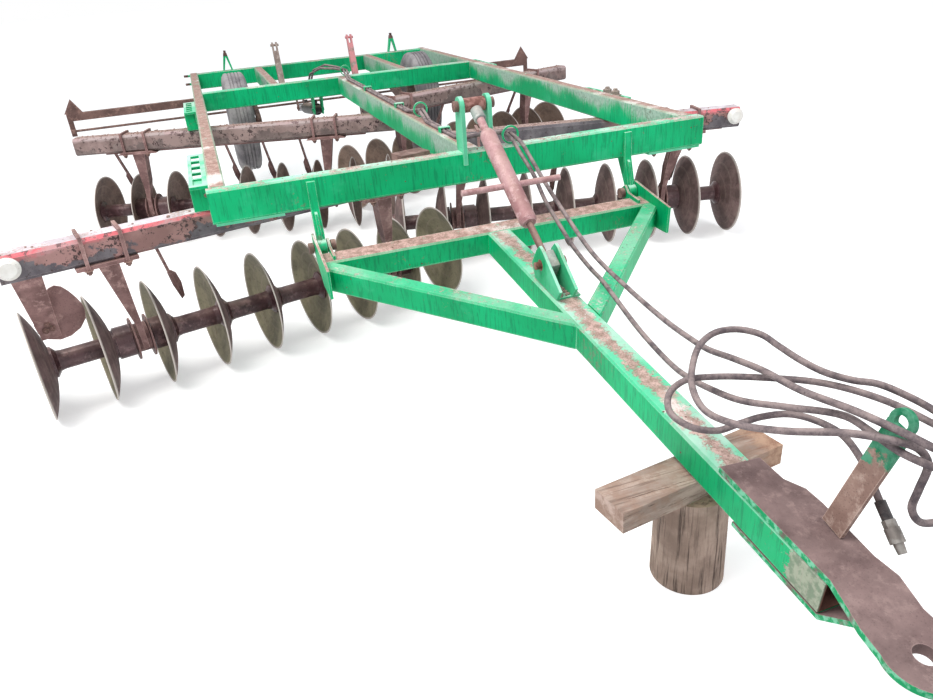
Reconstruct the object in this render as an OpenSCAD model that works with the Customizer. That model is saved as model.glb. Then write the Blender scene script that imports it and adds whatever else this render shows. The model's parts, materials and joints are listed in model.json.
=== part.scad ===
// Tandem disc harrow on a drawbar, parked with its drawbar on a timber and a stump.
// X runs across the machine, -Y towards the hitch, Z up. Millimetres.

/* [Frame] */
// outside width of the front cross tube
frame_width = 2574; // [2300:2:2800]
// front face of the frame to the rear ends of the side rails
frame_length = 5280; // [5150:5:5500]
// height of the main frame tubes
tube_h = 152; // [120:2:180]
// width of the main frame tubes
tube_w = 76; // [60:2:100]
// front face of the frame to the front face of the middle cross tube
mid_at = 3511; // [3400:1:3650]
// front face of the frame to the front face of the rear cross tube
rear_at = 5158; // [5080:1:5200]
// how far the side rails' outer faces sit in from the ends of the cross tube
rail_inset = 13; // [5:1:30]
// short lengthwise tubes, distance from the centre line
short_x = 585; // [520:1:620]

/* [Gangs] */
// angle of the front gangs to the frame's cross tubes, degrees
front_angle = 14; // [12:0.5:17]
// angle of the rear gangs to the frame's cross tubes, degrees
rear_angle = 18; // [15:0.5:19]
// discs on each gang
disc_count = 9; // [9:1:9]
// distance between discs along the axle
disc_pitch = 290; // [285:1:292]
// diameter of a disc
disc_dia = 560; // [540:5:580]
// depth of a disc's dish
disc_dish = 66; // [50:1:74]
// thickness of a disc
disc_t = 6; // [5:0.5:8]
// radius of the spool tubes between discs
spool_r = 50; // [42:1:56]
// radius of the spools' flared ends
flare_r = 80; // [72:1:88]
// side of the square gang beams
beam = 127; // [100:1:140]
// height from the gang axle up to the underside of the gang beams
axle_drop = 511; // [490:1:530]
// how far the gang axle trails behind its beam
trail = 205; // [180:1:225]
// where the front left beam crosses its rail
front_left_y = 340; // [320:1:380]
// where the front right beam crosses its rail
front_right_y = 997; // [970:1:1030]
// where the rear left beam crosses its rail
rear_left_y = 2728; // [2700:1:2780]
// where the rear right beam crosses its rail
rear_right_y = 3318; // [3290:1:3370]

/* [Drawbar] */
// height and depth of the drawbar tubes
bar_h = 114; // [100:2:126]
// width of the two slanted drawbar tubes
brace_w = 76; // [60:2:90]
// width of the tongue tube
tongue_w = 118; // [100:2:130]
// how far the drawbar points down at rest, degrees
drawbar_pitch = 5.57; // [3:0.01:7]
// pivot pins to the centre of the hitch eye
eye_at = 2683; // [2550:1:2800]
// radius of the hitch eye
eye_r = 27; // [19:0.5:32]
// pivot pins' radius
hinge_pin_r = 16; // [12:0.5:20]
// distance of the pivot brackets from the centre line
hinge_x = 826; // [790:1:840]

/* [Wheels] */
// tyre diameter
tyre_dia = 900; // [840:5:930]
// tyre width
tyre_w = 224; // [180:2:236]
// distance of a wheel's middle from the centre line
wheel_x = 895; // [880:1:905]
// shaft that lifts the frame, distance behind the front face
shaft_y = 4900; // [4850:1:4940]
// radius of the lifting shaft
shaft_r = 44; // [38:1:50]

/* [Levelling screw] */
// radius of the screw's barrel
barrel_r = 39; // [34:1:44]
// radius of the screw's rods
rod_r = 15; // [12:0.5:19]
// height of the mast pin above the frame's top
mast_pin_z = 215; // [190:1:240]

/* [Running fits] */
// radial clearance of the hitch eye and turning joints
fit_gap = 0.4; // [0.3:0.05:0.8]
// side gap between moving faces
side_gap = 5; // [3:0.5:7]

/* [Hidden] */
disc_r = disc_dia / 2;
top_z = disc_r + axle_drop + beam + tube_h;
low_z = top_z - tube_h;
beam_z = low_z - beam / 2;
axle_z = disc_r;
rail_x = frame_width / 2 - rail_inset;
rail_c = rail_x - tube_w / 2;
hinge_y = -45;
hinge_z = top_z - 325;
nose_r = 95;
nose_top = -5;
tip_y = hinge_y - (eye_at + nose_r) * cos(drawbar_pitch) - nose_top * sin(drawbar_pitch);
drag_y = frame_length + 20;
drag_d = 60;
drag_half = frame_width / 2 + 1258;
drag_top = top_z - 255;
tail_y = drag_y + drag_d;
mid_y = (tip_y + tail_y) / 2;
// gangs: side (-1 left), crossing point on the rail, turn of the beam, outermost disc's distance out, dish direction, beam's inner and outer ends
gangs = [
  [-1, front_left_y, -front_angle, 962, 1, -1300, 975],
  [1, front_right_y, -front_angle, 911, 1, -1300, 855],
  [-1, rear_left_y, rear_angle, 948, -1, -1480, 960],
  [1, rear_right_y, rear_angle, 948, -1, -1300, 960]
];
// standards stand in the middle of these disc gaps, counted from the outside
posts = [1, 6];
function mid_gap(g, k) = g[3] - g[4] * disc_dish - k * disc_pitch - (disc_pitch - g[4] * disc_t) / 2;
// how far a standard's clamp sits outboard of its bearing, front and rear
front_clamp = 76;
rear_clamp = -78;
$fn = 32;

green = [0.04, 0.62, 0.36];
rust = [0.36, 0.26, 0.23];

module place() translate([0, -mid_y, 0]) children();

// a tube along x from 0 to l, centred on y and z, with cut corners
module tube_x(l, w, h, c = 8) rotate([90, 0, 90]) linear_extrude(l) cut_rect(w, h, c);
module cut_rect(w, h, c) polygon([[-w / 2 + c, -h / 2], [w / 2 - c, -h / 2], [w / 2, -h / 2 + c], [w / 2, h / 2 - c], [w / 2 - c, h / 2], [-w / 2 + c, h / 2], [-w / 2, h / 2 - c], [-w / 2, -h / 2 + c]]);
module tube_y(l, w, h, c = 8) translate([0, l, 0]) rotate([90, 0, 0]) linear_extrude(l) cut_rect(w, h, c);
module plate_x(t, pts) rotate([90, 0, 90]) linear_extrude(t, center = true) polygon(pts);

module crossbars() color(green) place() {
  for (r = [[0, frame_width / 2], [mid_at, rail_x - tube_w], [rear_at, rail_x - tube_w]])
    translate([-r[1], r[0] + tube_w / 2, top_z - tube_h / 2]) tube_x(2 * r[1], tube_w, tube_h);
}

module side_rails() color(green) place()
  for (s = [-1, 1]) translate([s * rail_c, tube_w, top_z - tube_h / 2]) tube_y(frame_length - tube_w, tube_w, tube_h);

module centre_tubes() color(green) place() {
  translate([0, tube_w, top_z - tube_h / 2]) tube_y(mid_at - tube_w, tube_w, tube_h);
  for (s = [-1, 1]) translate([s * short_x, mid_at + tube_w, top_z - tube_h / 2]) tube_y(rear_at - mid_at - tube_w, tube_w, tube_h);
}

mast_x = 68;
mast_y = 20;
module mast() color(green) place() for (s = [-1, 1]) difference() {
  union() {
    translate([s * mast_x, 0, top_z]) plate_x(20, [[-16, -60], [0, -60], [0, 0], [tube_w, 0], [tube_w + 6, 60], [mast_y + 44, mast_pin_z], [mast_y - 44, mast_pin_z]]);
    translate([s * mast_x, mast_y, top_z + mast_pin_z]) rotate([0, 90, 0]) cylinder(r = 44, h = 20, center = true);
  }
  translate([s * mast_x, mast_y, top_z + mast_pin_z]) rotate([0, 90, 0]) cylinder(r = 16 + fit_gap / 4, h = 60, center = true);
}

module mast_pin() color(rust) place() translate([0, mast_y, top_z + mast_pin_z]) rotate([0, 90, 0]) {
  cylinder(r = 16, h = 2 * mast_x + 70, center = true);
  for (s = [-1, 1]) translate([0, 0, s * (mast_x + 22)]) cylinder(r = 25, h = 22, center = true);
}

module hinge_brackets() color(green) place() for (s = [-1, 1]) difference() {
  union() {
    translate([s * hinge_x, 0, top_z]) plate_x(12, [[0, -tube_h], [95, -tube_h], [hinge_y + 40, hinge_z - top_z], [hinge_y, hinge_z - top_z - 38], [hinge_y - 20, hinge_z - top_z + 10], [-30, -tube_h - 20]]);
    translate([s * hinge_x, 0, top_z]) plate_x(40, [[-14, -22], [0, -22], [0, -tube_h - 4], [hinge_y + 14, hinge_z - top_z + 20], [hinge_y - 14, hinge_z - top_z + 20], [-14, -tube_h]]);
    translate([s * hinge_x, hinge_y, hinge_z]) rotate([0, 90, 0]) cylinder(r = 38, h = 40, center = true);
  }
  translate([s * hinge_x, hinge_y, hinge_z]) rotate([0, 90, 0]) cylinder(r = hinge_pin_r + fit_gap / 4, h = 80, center = true);
}

ear_in = hinge_x - 20 - side_gap - 6;
ear_out = hinge_x + 20 + side_gap + 6;
module hinge_pins() color(rust) place() for (s = [-1, 1]) translate([s * hinge_x, hinge_y, hinge_z]) rotate([0, 90, 0]) {
  cylinder(r = hinge_pin_r, h = ear_out - ear_in + 60, center = true);
  for (e = [-1, 1]) translate([0, 0, e * ((ear_out - ear_in) / 2 + 6 + side_gap + 11)]) cylinder(r = 26, h = 22, center = true);
}

module at_gang(g) mirror([g[0] < 0 ? 1 : 0, 0, 0]) translate([rail_x, g[1], 0]) rotate([0, 0, g[2]]) children();

module gang_beam(g) at_gang(g) translate([g[5], 0, beam_z]) tube_x(g[6] - g[5], beam, beam, 16);
module front_beams() color([0.52, 0.38, 0.36]) place() for (i = [0, 1]) gang_beam(gangs[i]);
module rear_beams() color([0.52, 0.38, 0.36]) place() for (i = [2, 3]) gang_beam(gangs[i]);

// ladder plates and side boxes: side, start and end along the rail, gang
hanger_rows = [
  [-1, front_left_y - 120, front_left_y + 667, 0],
  [1, front_right_y - 120, front_right_y + 460, 1],
  [-1, rear_left_y - 90, rear_left_y + 476, 2],
  [1, rear_right_y - 90, rear_right_y + 470, 3]
];
module hangers() color(green) place() for (r = hanger_rows) {
  difference() {
    translate([r[0] * (rail_x + 43) - 43, r[1], top_z - 34]) cube([86, r[2] - r[1], 14]);
    for (k = [0:4]) translate([r[0] * (rail_x + 46) - 22, r[1] + 40 + k * (r[2] - r[1] - 60) / 5, top_z - 60]) cube([44, (r[2] - r[1] - 60) / 5 - 26, 60]);
  }
  translate([r[0] * (rail_x + 6) - 6, r[1], top_z - 110]) cube([12, r[2] - r[1], 76]);
  translate([r[0] * (rail_x + 44) - 44, gangs[r[3]][1] - 66, low_z]) cube([88, 132, tube_h - 30]);
}

module mount_plates() color(green) place() {
  for (s = [-1, 1]) translate([s * (rail_x - 155) - 155, 8, low_z - 12]) cube([310, 130, 12]);
  at_gang(gangs[0]) translate([tube_w / 2 + 22 - rail_x, -60, low_z]) cube([180, 120, 58]);
}

// clamp plate, two bent bolts, leaning arm and bearing of one standard
module standard(u, off) {
  w = off + u;
  wide = off > 0 ? 137 : 150;
  translate([w, -beam / 2 - 12, 0]) rotate([-90, 0, 0]) linear_extrude(beam + 24) polygon([[-wide, 18 + beam - low_z], [wide, 18 + beam - low_z], [off > 0 ? wide : wide - 40, beam - low_z], [off > 0 ? -wide : 40 - wide, beam - low_z]]);
  for (e = [-1, 1]) {
    translate([w + e * 86 - 8, -beam / 2 - 18, low_z - beam - 34]) cube([16, 16, beam + 50]);
    translate([w + e * 86 - 8, beam / 2 + 2, low_z - beam - 34]) cube([16, 16, beam + 50]);
    translate([w + e * 86 - 8, -beam / 2 - 18, low_z]) cube([16, beam + 36, 16]);
  }
  translate([u, 0, 0]) intersection() {
    plate_x(700, [[-34, low_z - beam - 18], [44, low_z - beam - 18], [trail - 62, axle_z + 250], [trail - 64, axle_z + 60], [trail - 64, axle_z - 30], [trail - 96, axle_z - 30], [trail - 124, axle_z + 190]]);
    rotate([90, 0, 0]) linear_extrude(900, center = true) polygon([[off - 48, low_z - beam], [off + 48, low_z - beam], [off / 9 + 15, axle_z + 110], [14, axle_z - 40], [-14, axle_z - 40], [off / 9 - 15, axle_z + 110]]);
  }
  translate([u, trail, axle_z]) rotate([0, 90, 0]) difference() {
    union() {
      cylinder(r = 76, h = 62, center = true);
      for (e = [-1, 1]) translate([0, 0, e * 38]) cylinder(r = 112, h = 8, center = true);
      cylinder(r = 60, h = 88, center = true);
    }
    cylinder(r = 34 + fit_gap, h = 120, center = true);
  }
}
module gang_standards(i, off) for (k = posts) at_gang(gangs[i]) standard(mid_gap(gangs[i], k), off);
module front_standards() color(rust) place() for (i = [0, 1]) gang_standards(i, front_clamp);
module rear_standards() color(rust) place() for (i = [2, 3]) gang_standards(i, rear_clamp);

// scrapers left on the machine: gang, disc gap counted from the outside, lean
scraper_rows = [[0, 2.3, 15], [1, 1.25, 0], [1, 4.25, 0], [2, 0.75, 0], [2, 3.75, 0], [2, 4.75, 0], [2, 5.75, 0], [3, 1.75, 0], [3, 4.75, 0]];
bar_in = beam / 2 + 18.3;
module scraper_bars() color(rust) place() for (i = [0:3])
  at_gang(gangs[i]) translate([-1240, bar_in, low_z - beam - 34]) cube([2040, 34, 34]);
module scraper_arms() color(rust) place() for (r = scraper_rows)
  at_gang(gangs[r[0]]) translate([gangs[r[0]][3] - r[1] * disc_pitch, 0, low_z - beam - 34.3 - 9 * sin(r[2])]) rotate([0, r[2], 0]) {
    fall = low_z - beam - 34.3 - axle_z;
    d = gangs[r[0]][4];
    plate_x(14, [[bar_in, 0], [bar_in + 24, 0], [trail + 138, 120 - fall], [trail + 120, 104 - fall]]);
    translate([0, bar_in + 24, 0]) rotate([33, 0, 0]) translate([0, -3, 0]) rotate([90, 0, 0]) linear_extrude(6)
      polygon([[-12 * d, -206], [10 * d, -212], [13 * d, -330], [4 * d, -474], [-18 * d, -455], [-34 * d, -330], [-30 * d, -244]]);
  }

module end_lamps() color([0.93, 0.93, 0.9]) place() for (i = [0, 1]) at_gang(gangs[i])
  translate([gangs[i][6] - 46, -beam / 2, beam_z + 15]) rotate([90, 0, 0]) {
    cylinder(r = 20, h = 16);
    translate([0, 0, 14]) cylinder(r1 = 46, r2 = 51, h = 22);
    translate([0, 0, 36]) cylinder(r1 = 51, r2 = 33, h = 24);
  }

module furrow_blade() color(rust) place() at_gang(gangs[0]) {
  translate([gangs[0][6] - 102, 0, 0]) intersection() {
    plate_x(200, [[-40, low_z - beam - 0.3], [30, low_z - beam - 0.3], [154, axle_z + 230], [154, axle_z + 152], [128, axle_z + 152], [118, axle_z + 230]]);
    rotate([90, 0, 0]) linear_extrude(900, center = true) polygon([[-60, low_z - beam - 0.3], [66, low_z - beam - 0.3], [30, axle_z + 152], [-56, axle_z + 152]]);
  }
  translate([gangs[0][6] - 310, 154, axle_z + 124]) rotate([90, 0, 0]) linear_extrude(10)
    polygon([[18, 120], [26, 76], [60, 34], [110, 8], [160, 2], [210, 20], [244, 60], [250, 104], [232, 140], [206, 168], [186, 204], [166, 240], [140, 264], [112, 272], [84, 258], [60, 228], [36, 186], [21, 150]]);
}

module drag_bar() color(rust) place() {
  translate([-drag_half, drag_y, drag_top - 75]) cube([2 * drag_half, 10, 75]);
  translate([-drag_half, drag_y, drag_top - 10]) cube([2 * drag_half, drag_d, 10]);
  for (s = [-1, 1]) {
    translate([s * (drag_half - 75), drag_y + 5, drag_top]) rotate([90, 0, 0]) linear_extrude(10, center = true) polygon([[s * -90, -1], [s * 90, -1], [0, 140]]);
    translate([s * (drag_half - 25) - 25, drag_y, drag_top - 225]) cube([50, 10, 160]);
    translate([s * rail_c - 30, frame_length - 20, top_z - 470]) cube([60, 20.5, 470 - tube_h - 0.3]);
  }
  translate([-drag_half, drag_y + 20, drag_top - 175]) rotate([0, 90, 0]) cylinder(r = 12, h = 2 * drag_half, $fn = 12);
  for (x = [25 - drag_half, -rail_c, rail_c, drag_half - 25]) translate([x - 20, drag_y - 20.5, drag_top - 195]) cube([40, 44, 40]);
}

module rear_brackets() color(green) place() {
  for (s = [-1, 1]) translate([s * 886, rear_at + tube_w / 2, top_z]) {
    rotate([90, 0, 0]) linear_extrude(50, center = true) polygon([[-50, 0], [-34, 0], [0, 130], [34, 0], [50, 0], [16, 165], [-16, 165]]);
    translate([-12, -14, 140]) cube([24, 28, 50]);
  }
  for (z = [-30, -110]) translate([-rail_x - 62.2, frame_length - 60, top_z + z]) cube([62, 60, 18]);
}

module hose_rings() color(green) place() {
  for (r = [[40, mid_at + 30], [25, 1078], [190, 40]]) translate([r[0], r[1], top_z + 45.2]) rotate([90, 0, 0]) difference() {
    cylinder(r = 45, h = 10, center = true);
    cylinder(r = 36, h = 20, center = true);
  }
  for (y = [520, 1500, 2450]) difference() {
    translate([-26, y, top_z]) cube([58, 40, 30]);
    translate([-21, y - 5, top_z - 1]) cube([48, 50, 26]);
  }
}

// hydraulic hoses: centre points from the ring on the front tube to the couplers, heights from the frame's top
hose_d = 19;
route_a = [
  [178, 60, 45], [175, -30, 30], [180, -110, -20], [190, -240, -100], [195, -350, -195], [200, -480, -270],
  [205, -615, -340], [215, -750, -394], [200, -895, -403], [170, -1045, -408], [120, -1340, -430], [65, -1630, -415],
  [25, -1775, -375], [0, -1915, -335], [-5, -2060, -295], [30, -2195, -250], [76, -2330, -212], [82, -2405, -215],
  [100, -2480, -232], [146, -2560, -245], [200, -2600, -260], [260, -2610, -275], [315, -2580, -285], [345, -2525, -285],
  [340, -2460, -280], [310, -2400, -270], [250, -2290, -240], [165, -2170, -228], [70, -2055, -245], [-30, -1965, -262],
  [-95, -1925, -278], [-150, -1935, -300], [-180, -1985, -325], [-155, -2045, -345], [-95, -2080, -355], [-30, -2090, -345],
  [35, -2100, -335], [90, -2135, -322], [125, -2190, -318], [155, -2260, -332], [165, -2325, -375], [155, -2405, -440]
];
route_b = [
  [202, 60, 45], [205, -65, 20], [205, -195, -45], [205, -330, -115], [200, -465, -170], [190, -750, -275],
  [180, -895, -305], [160, -1195, -330], [125, -1490, -325], [110, -1640, -315], [80, -1785, -285], [55, -1930, -240],
  [40, -2070, -205], [40, -2220, -190], [65, -2365, -175], [98, -2480, -180], [130, -2540, -195], [185, -2570, -215],
  [245, -2565, -235], [292, -2515, -240], [310, -2445, -245], [312, -2370, -238], [298, -2300, -230], [260, -2245, -215],
  [205, -2215, -205], [160, -2165, -195], [138, -2100, -185], [135, -2020, -180], [132, -1945, -175], [95, -1890, -175],
  [40, -1870, -180], [-20, -1885, -195], [-75, -1930, -220], [-120, -1995, -255], [-135, -2075, -280], [-115, -2165, -275],
  [-60, -2280, -245], [20, -2393, -206], [68, -2456, -198], [128, -2492, -220], [160, -2500, -270], [150, -2500, -335],
  [150, -2495, -395], [185, -2500, -445], [245, -2505, -455], [285, -2505, -430]
];
// clipped stretch of both hoses, from the lift cylinder over the middle tube to the front ring
line_a = [
  [-262, 3850, -180], [-262, 3870, -80], [-235, 3810, 20], [-150, 3700, 68], [-40, 3610, 62], [26, 3541, 45],
  [14, 3400, 20], [-8, 3200, 9.8], [-8, 1300, 9.8], [4, 1180, 26], [12, 1078, 45], [4, 960, 26],
  [-8, 850, 9.8], [-6, 330, 9.8], [20, 220, 22], [80, 162, 40], [150, 118, 46], [177.4, 67.5, 46]
];
line_b = [
  [-218, 3930, -180], [-218, 3950, -60], [-190, 3880, 40], [-100, 3740, 88], [-10, 3640, 70], [54, 3541, 45],
  [36, 3400, 20], [14, 3200, 9.8], [14, 1300, 9.8], [26, 1180, 26], [38, 1078, 45], [28, 960, 26],
  [14, 850, 9.8], [18, 380, 9.8], [50, 260, 22], [110, 180, 40], [174, 130, 46], [201.4, 68.5, 46]
];

function unit(v) = v / norm(v);
function way(p, i) = unit(p[min(i + 1, len(p) - 1)] - p[max(i - 1, 0)]);
function across(u, t) = unit(u - (u * t) * t);
function sides(p, start) = [for (i = 0, u = across(start, way(p, 0)); i < len(p); i = i + 1, u = across(u, way(p, min(i, len(p) - 1)))) u];
module sweep(p, r, n = 10) {
  u = sides(p, [1, 0, 0.2]);
  polyhedron(
    points = [for (i = [0:len(p) - 1]) let (t = way(p, i), v = cross(t, u[i])) for (k = [0:n - 1])
      p[i] + r * (cos(360 * k / n) * u[i] + sin(360 * k / n) * v)],
    faces = concat(
      [[for (k = [n - 1:-1:0]) k]],
      [for (i = [0:len(p) - 2]) for (k = [0:n - 1]) [i * n + k, i * n + (k + 1) % n, (i + 1) * n + (k + 1) % n, (i + 1) * n + k]],
      [[for (k = [0:n - 1]) (len(p) - 1) * n + k]]
    )
  );
}
module hose_lines() color([0.25, 0.25, 0.26]) place() translate([0, 0, top_z]) {
  sweep(line_a, hose_d / 2);
  sweep(line_b, hose_d / 2);
}
module hose_a() color([0.25, 0.25, 0.26]) place() translate([0, 0, top_z]) sweep(route_a, hose_d / 2);
module hose_b() color([0.3, 0.3, 0.31]) place() translate([0, 0, top_z]) sweep(route_b, hose_d / 2);

// crimped sleeve, hexagon, coupler body and nose at a hose's end
module coupler(p) color([0.6, 0.6, 0.6]) place() translate([0, 0, top_z]) translate(p[len(p) - 1]) {
  t = unit(p[len(p) - 1] - p[len(p) - 2]);
  rotate([0, acos(t[2]), atan2(t[1], t[0])]) {
    translate([0, 0, 0.3]) cylinder(r = 14, h = 48);
    translate([0, 0, 48]) cylinder(r = 17, h = 20, $fn = 6);
    translate([0, 0, 68]) cylinder(r = 19, h = 38);
    translate([0, 0, 106]) cylinder(r1 = 13, r2 = 11, h = 26);
  }
}
module hose_a_end() coupler(route_a);
module hose_b_end() coupler(route_b);

module shaft_blocks() color(green) place() {
  for (s = [-1, 1]) difference() {
    translate([s * short_x - 24, shaft_y - 80, top_z - 320]) cube([48, 160, 320 - tube_h]);
    translate([s * short_x, shaft_y, top_z - 230]) rotate([0, 90, 0]) cylinder(r = shaft_r + fit_gap, h = 80, center = true);
  }
  for (s = [-1, 1]) difference() {
    translate([lift_x + s * 38, 0, top_z]) plate_x(12, [[mid_at, -tube_h], [mid_at + 160, -tube_h], [cyl_y + 40, cyl_z - top_z - 40], [cyl_y - 40, cyl_z - top_z - 40]]);
    translate([lift_x + s * 38, cyl_y, cyl_z]) rotate([0, 90, 0]) cylinder(r = 16 + fit_gap / 4, h = 40, center = true);
  }
  translate([lift_x, cyl_y, cyl_z]) rotate([0, 90, 0]) cylinder(r = 16, h = 110, center = true);
}

// one disc: a dished plate on the gang axle, its hollow side facing +x when d = 1
bow = [flare_r + 3, 118, 156, 194, 232, disc_r - 8];
function sag(r) = disc_dish * (r * r - bow[0] * bow[0]) / (disc_r * disc_r - bow[0] * bow[0]);
module disc(d) mirror([d < 0 ? 1 : 0, 0, 0]) rotate([0, 90, 0]) rotate_extrude($fn = 32)
  polygon(concat([[0, 0]], [for (r = bow) [r, sag(r)]], [[disc_r, disc_dish], [disc_r - 2, disc_dish + disc_t - 1]], [for (i = [len(bow) - 1:-1:0]) [bow[i] - 2, sag(bow[i]) + disc_t]], [[0, disc_t]]));
module gang_discs(i) color(rust) place() at_gang(gangs[i]) translate([gangs[i][3], trail, axle_z])
  for (k = [0:disc_count - 1]) translate([-k * disc_pitch - gangs[i][4] * disc_dish, 0, 0]) disc(gangs[i][4]);
module discs_fl() gang_discs(0);
module discs_fr() gang_discs(1);
module discs_rl() gang_discs(2);
module discs_rr() gang_discs(3);

// spools between the discs, bare journal where a bearing sits, nuts at both ends
module gang_spools(i) color(rust) place() at_gang(gangs[i]) translate([gangs[i][3] - gangs[i][4] * disc_dish, trail, axle_z]) {
  d = gangs[i][4];
  t0 = d > 0 ? disc_t : 0;
  t1 = d > 0 ? 0 : -disc_t;
  for (k = [0:disc_count - 2]) translate([-k * disc_pitch, 0, 0]) rotate([0, -90, 0]) {
    a = d > 0 ? 0 : disc_t;
    l = disc_pitch - disc_t;
    if (k == posts[0] || k == posts[1]) {
      c = a + l / 2;
      translate([0, 0, a]) cylinder(r = 34, h = l);
      for (m = [0, 1]) translate([0, 0, c]) mirror([0, 0, m]) translate([0, 0, 45 + side_gap]) {
        cylinder(r = flare_r + 4, h = l / 2 - 57 - side_gap);
        cylinder(r = flare_r - 6, h = l / 2 - 45 - side_gap);
      }
    } else translate([0, 0, a]) rotate_extrude()
      polygon([[0, 0], [flare_r, 0], [flare_r, 10], [flare_r - 8, 16], [spool_r + 4, 30], [spool_r, 52], [spool_r, l - 52], [spool_r + 4, l - 30], [flare_r - 8, l - 16], [flare_r, l - 10], [flare_r, l], [0, l]]);
  }
  translate([t0, 0, 0]) rotate([0, 90, 0]) cylinder(r = flare_r - 8, h = 16);
  translate([t0 + 16, 0, 0]) rotate([0, 90, 0]) cylinder(r = 36, h = 36, $fn = 6);
  translate([-(disc_count - 1) * disc_pitch + t1, 0, 0]) rotate([0, -90, 0]) cylinder(r = flare_r - 8, h = 16);
  translate([-(disc_count - 1) * disc_pitch + t1 - 16, 0, 0]) rotate([0, -90, 0]) cylinder(r = 36, h = 36, $fn = 6);
}
module spools_fl() gang_spools(0);
module spools_fr() gang_spools(1);
module spools_rl() gang_spools(2);
module spools_rr() gang_spools(3);

// lifting shaft at rest, wheels up
shaft_z = top_z - 230;
arm_len = 660;
arm_fall = 14;
wheel_y = shaft_y - arm_len * cos(arm_fall);
wheel_z = shaft_z - arm_len * sin(arm_fall);
lift_x = -240;
cyl_y = mid_at + 110;
cyl_z = top_z - 265;
horn = 190;
horn_a = 14;
pin_y = shaft_y - horn * sin(horn_a);
pin_z = shaft_z - horn * cos(horn_a);
arm_x = wheel_x - tyre_w / 2 - 55;

module rockshaft() color(rust) place() {
  translate([0, shaft_y, shaft_z]) rotate([0, 90, 0]) cylinder(r = shaft_r, h = 2 * arm_x + 40, center = true);
  for (s = [-1, 1]) translate([s * (short_x - 24 - side_gap - 8), shaft_y, shaft_z]) rotate([0, 90, 0]) cylinder(r = 58, h = 16, center = true);
  for (s = [-1, 1]) difference() {
    translate([lift_x + s * 34, 0, 0]) plate_x(12, [[shaft_y - 60, shaft_z], [shaft_y + 60, shaft_z], [pin_y + 32, pin_z - 20], [pin_y, pin_z - 34], [pin_y - 32, pin_z - 20]]);
    translate([lift_x + s * 34, pin_y, pin_z]) rotate([0, 90, 0]) cylinder(r = 14 + fit_gap / 4, h = 40, center = true);
  }
  translate([lift_x, pin_y, pin_z]) rotate([0, 90, 0]) cylinder(r = 14, h = 96, center = true);
}

module tall_arms() color([0.6, 0.48, 0.45]) place() for (s = [-1, 1]) translate([s * 390, 0, 0]) {
  difference() {
    plate_x(56, [[shaft_y - 46, shaft_z + 20], [shaft_y + 46, shaft_z + 20], [shaft_y + 118, top_z + 150], [shaft_y + 62, top_z + 150]]);
    translate([0, shaft_y, shaft_z]) rotate([0, 90, 0]) cylinder(r = shaft_r + 0.3, h = 80, center = true);
  }
  for (e = [-1, 1]) translate([e * 20, 0, 0]) plate_x(16, [[shaft_y + 64, top_z + 140], [shaft_y + 116, top_z + 140], [shaft_y + 126, top_z + 232], [shaft_y + 82, top_z + 232]]);
  translate([0, shaft_y + 98, top_z + 205]) rotate([0, 90, 0]) cylinder(r = 12, h = 84, center = true, $fn = 16);
}

module wheel_arms() color(rust) place() for (s = [-1, 1]) {
  difference() {
    translate([s * arm_x, 0, 0]) plate_x(40, [[shaft_y + 66, shaft_z - 40], [shaft_y + 66, shaft_z + 40], [shaft_y + 30, shaft_z + 66], [shaft_y - 40, shaft_z + 60], [wheel_y, wheel_z + 42], [wheel_y - 42, wheel_z + 10], [wheel_y - 42, wheel_z - 36], [wheel_y, wheel_z - 42], [shaft_y + 30, shaft_z - 66]]);
    translate([s * arm_x, shaft_y, shaft_z]) rotate([0, 90, 0]) cylinder(r = shaft_r + 0.3, h = 80, center = true);
  }
  translate([s * arm_x, wheel_y, wheel_z]) rotate([0, s * 90, 0]) cylinder(r = 26, h = wheel_x - arm_x + 66);
}

module at_wheel(s) translate([s * wheel_x, wheel_y, wheel_z]) rotate([0, s * 90, 0]) children();
rim_r = 205;
module tyre(s) color([0.45, 0.44, 0.44]) place() at_wheel(s) rotate_extrude($fn = 48)
  polygon([[rim_r + 0.3, -66], [rim_r + 16.5, -71], [rim_r + 24, -84], [tyre_dia / 2 - 110, -tyre_w / 2], [tyre_dia / 2 - 60, -tyre_w / 2 + 4], [tyre_dia / 2 - 16, -tyre_w / 2 + 20], [tyre_dia / 2, -tyre_w / 2 + 44], [tyre_dia / 2, tyre_w / 2 - 44], [tyre_dia / 2 - 16, tyre_w / 2 - 20], [tyre_dia / 2 - 60, tyre_w / 2 - 4], [tyre_dia / 2 - 110, tyre_w / 2], [rim_r + 24, 84], [rim_r + 16.5, 71], [rim_r + 0.3, 66]]);
module tyre_left() tyre(-1);
module tyre_right() tyre(1);
module rim(s) color([0.6, 0.55, 0.5]) place() at_wheel(s) difference() {
  union() {
    rotate_extrude($fn = 48) polygon([[rim_r - 14, -80], [rim_r + 16, -80], [rim_r + 16, -72], [rim_r, -67], [rim_r, 67], [rim_r + 16, 72], [rim_r + 16, 80], [rim_r - 14, 80]]);
    translate([0, 0, 6]) cylinder(r = rim_r - 10, h = 12, center = true);
    translate([0, 0, 0]) cylinder(r = 56, h = 110, center = true);
  }
  cylinder(r = 26 + fit_gap / 2, h = 200, center = true);
}
module rim_left() rim(-1);
module rim_right() rim(1);

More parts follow.
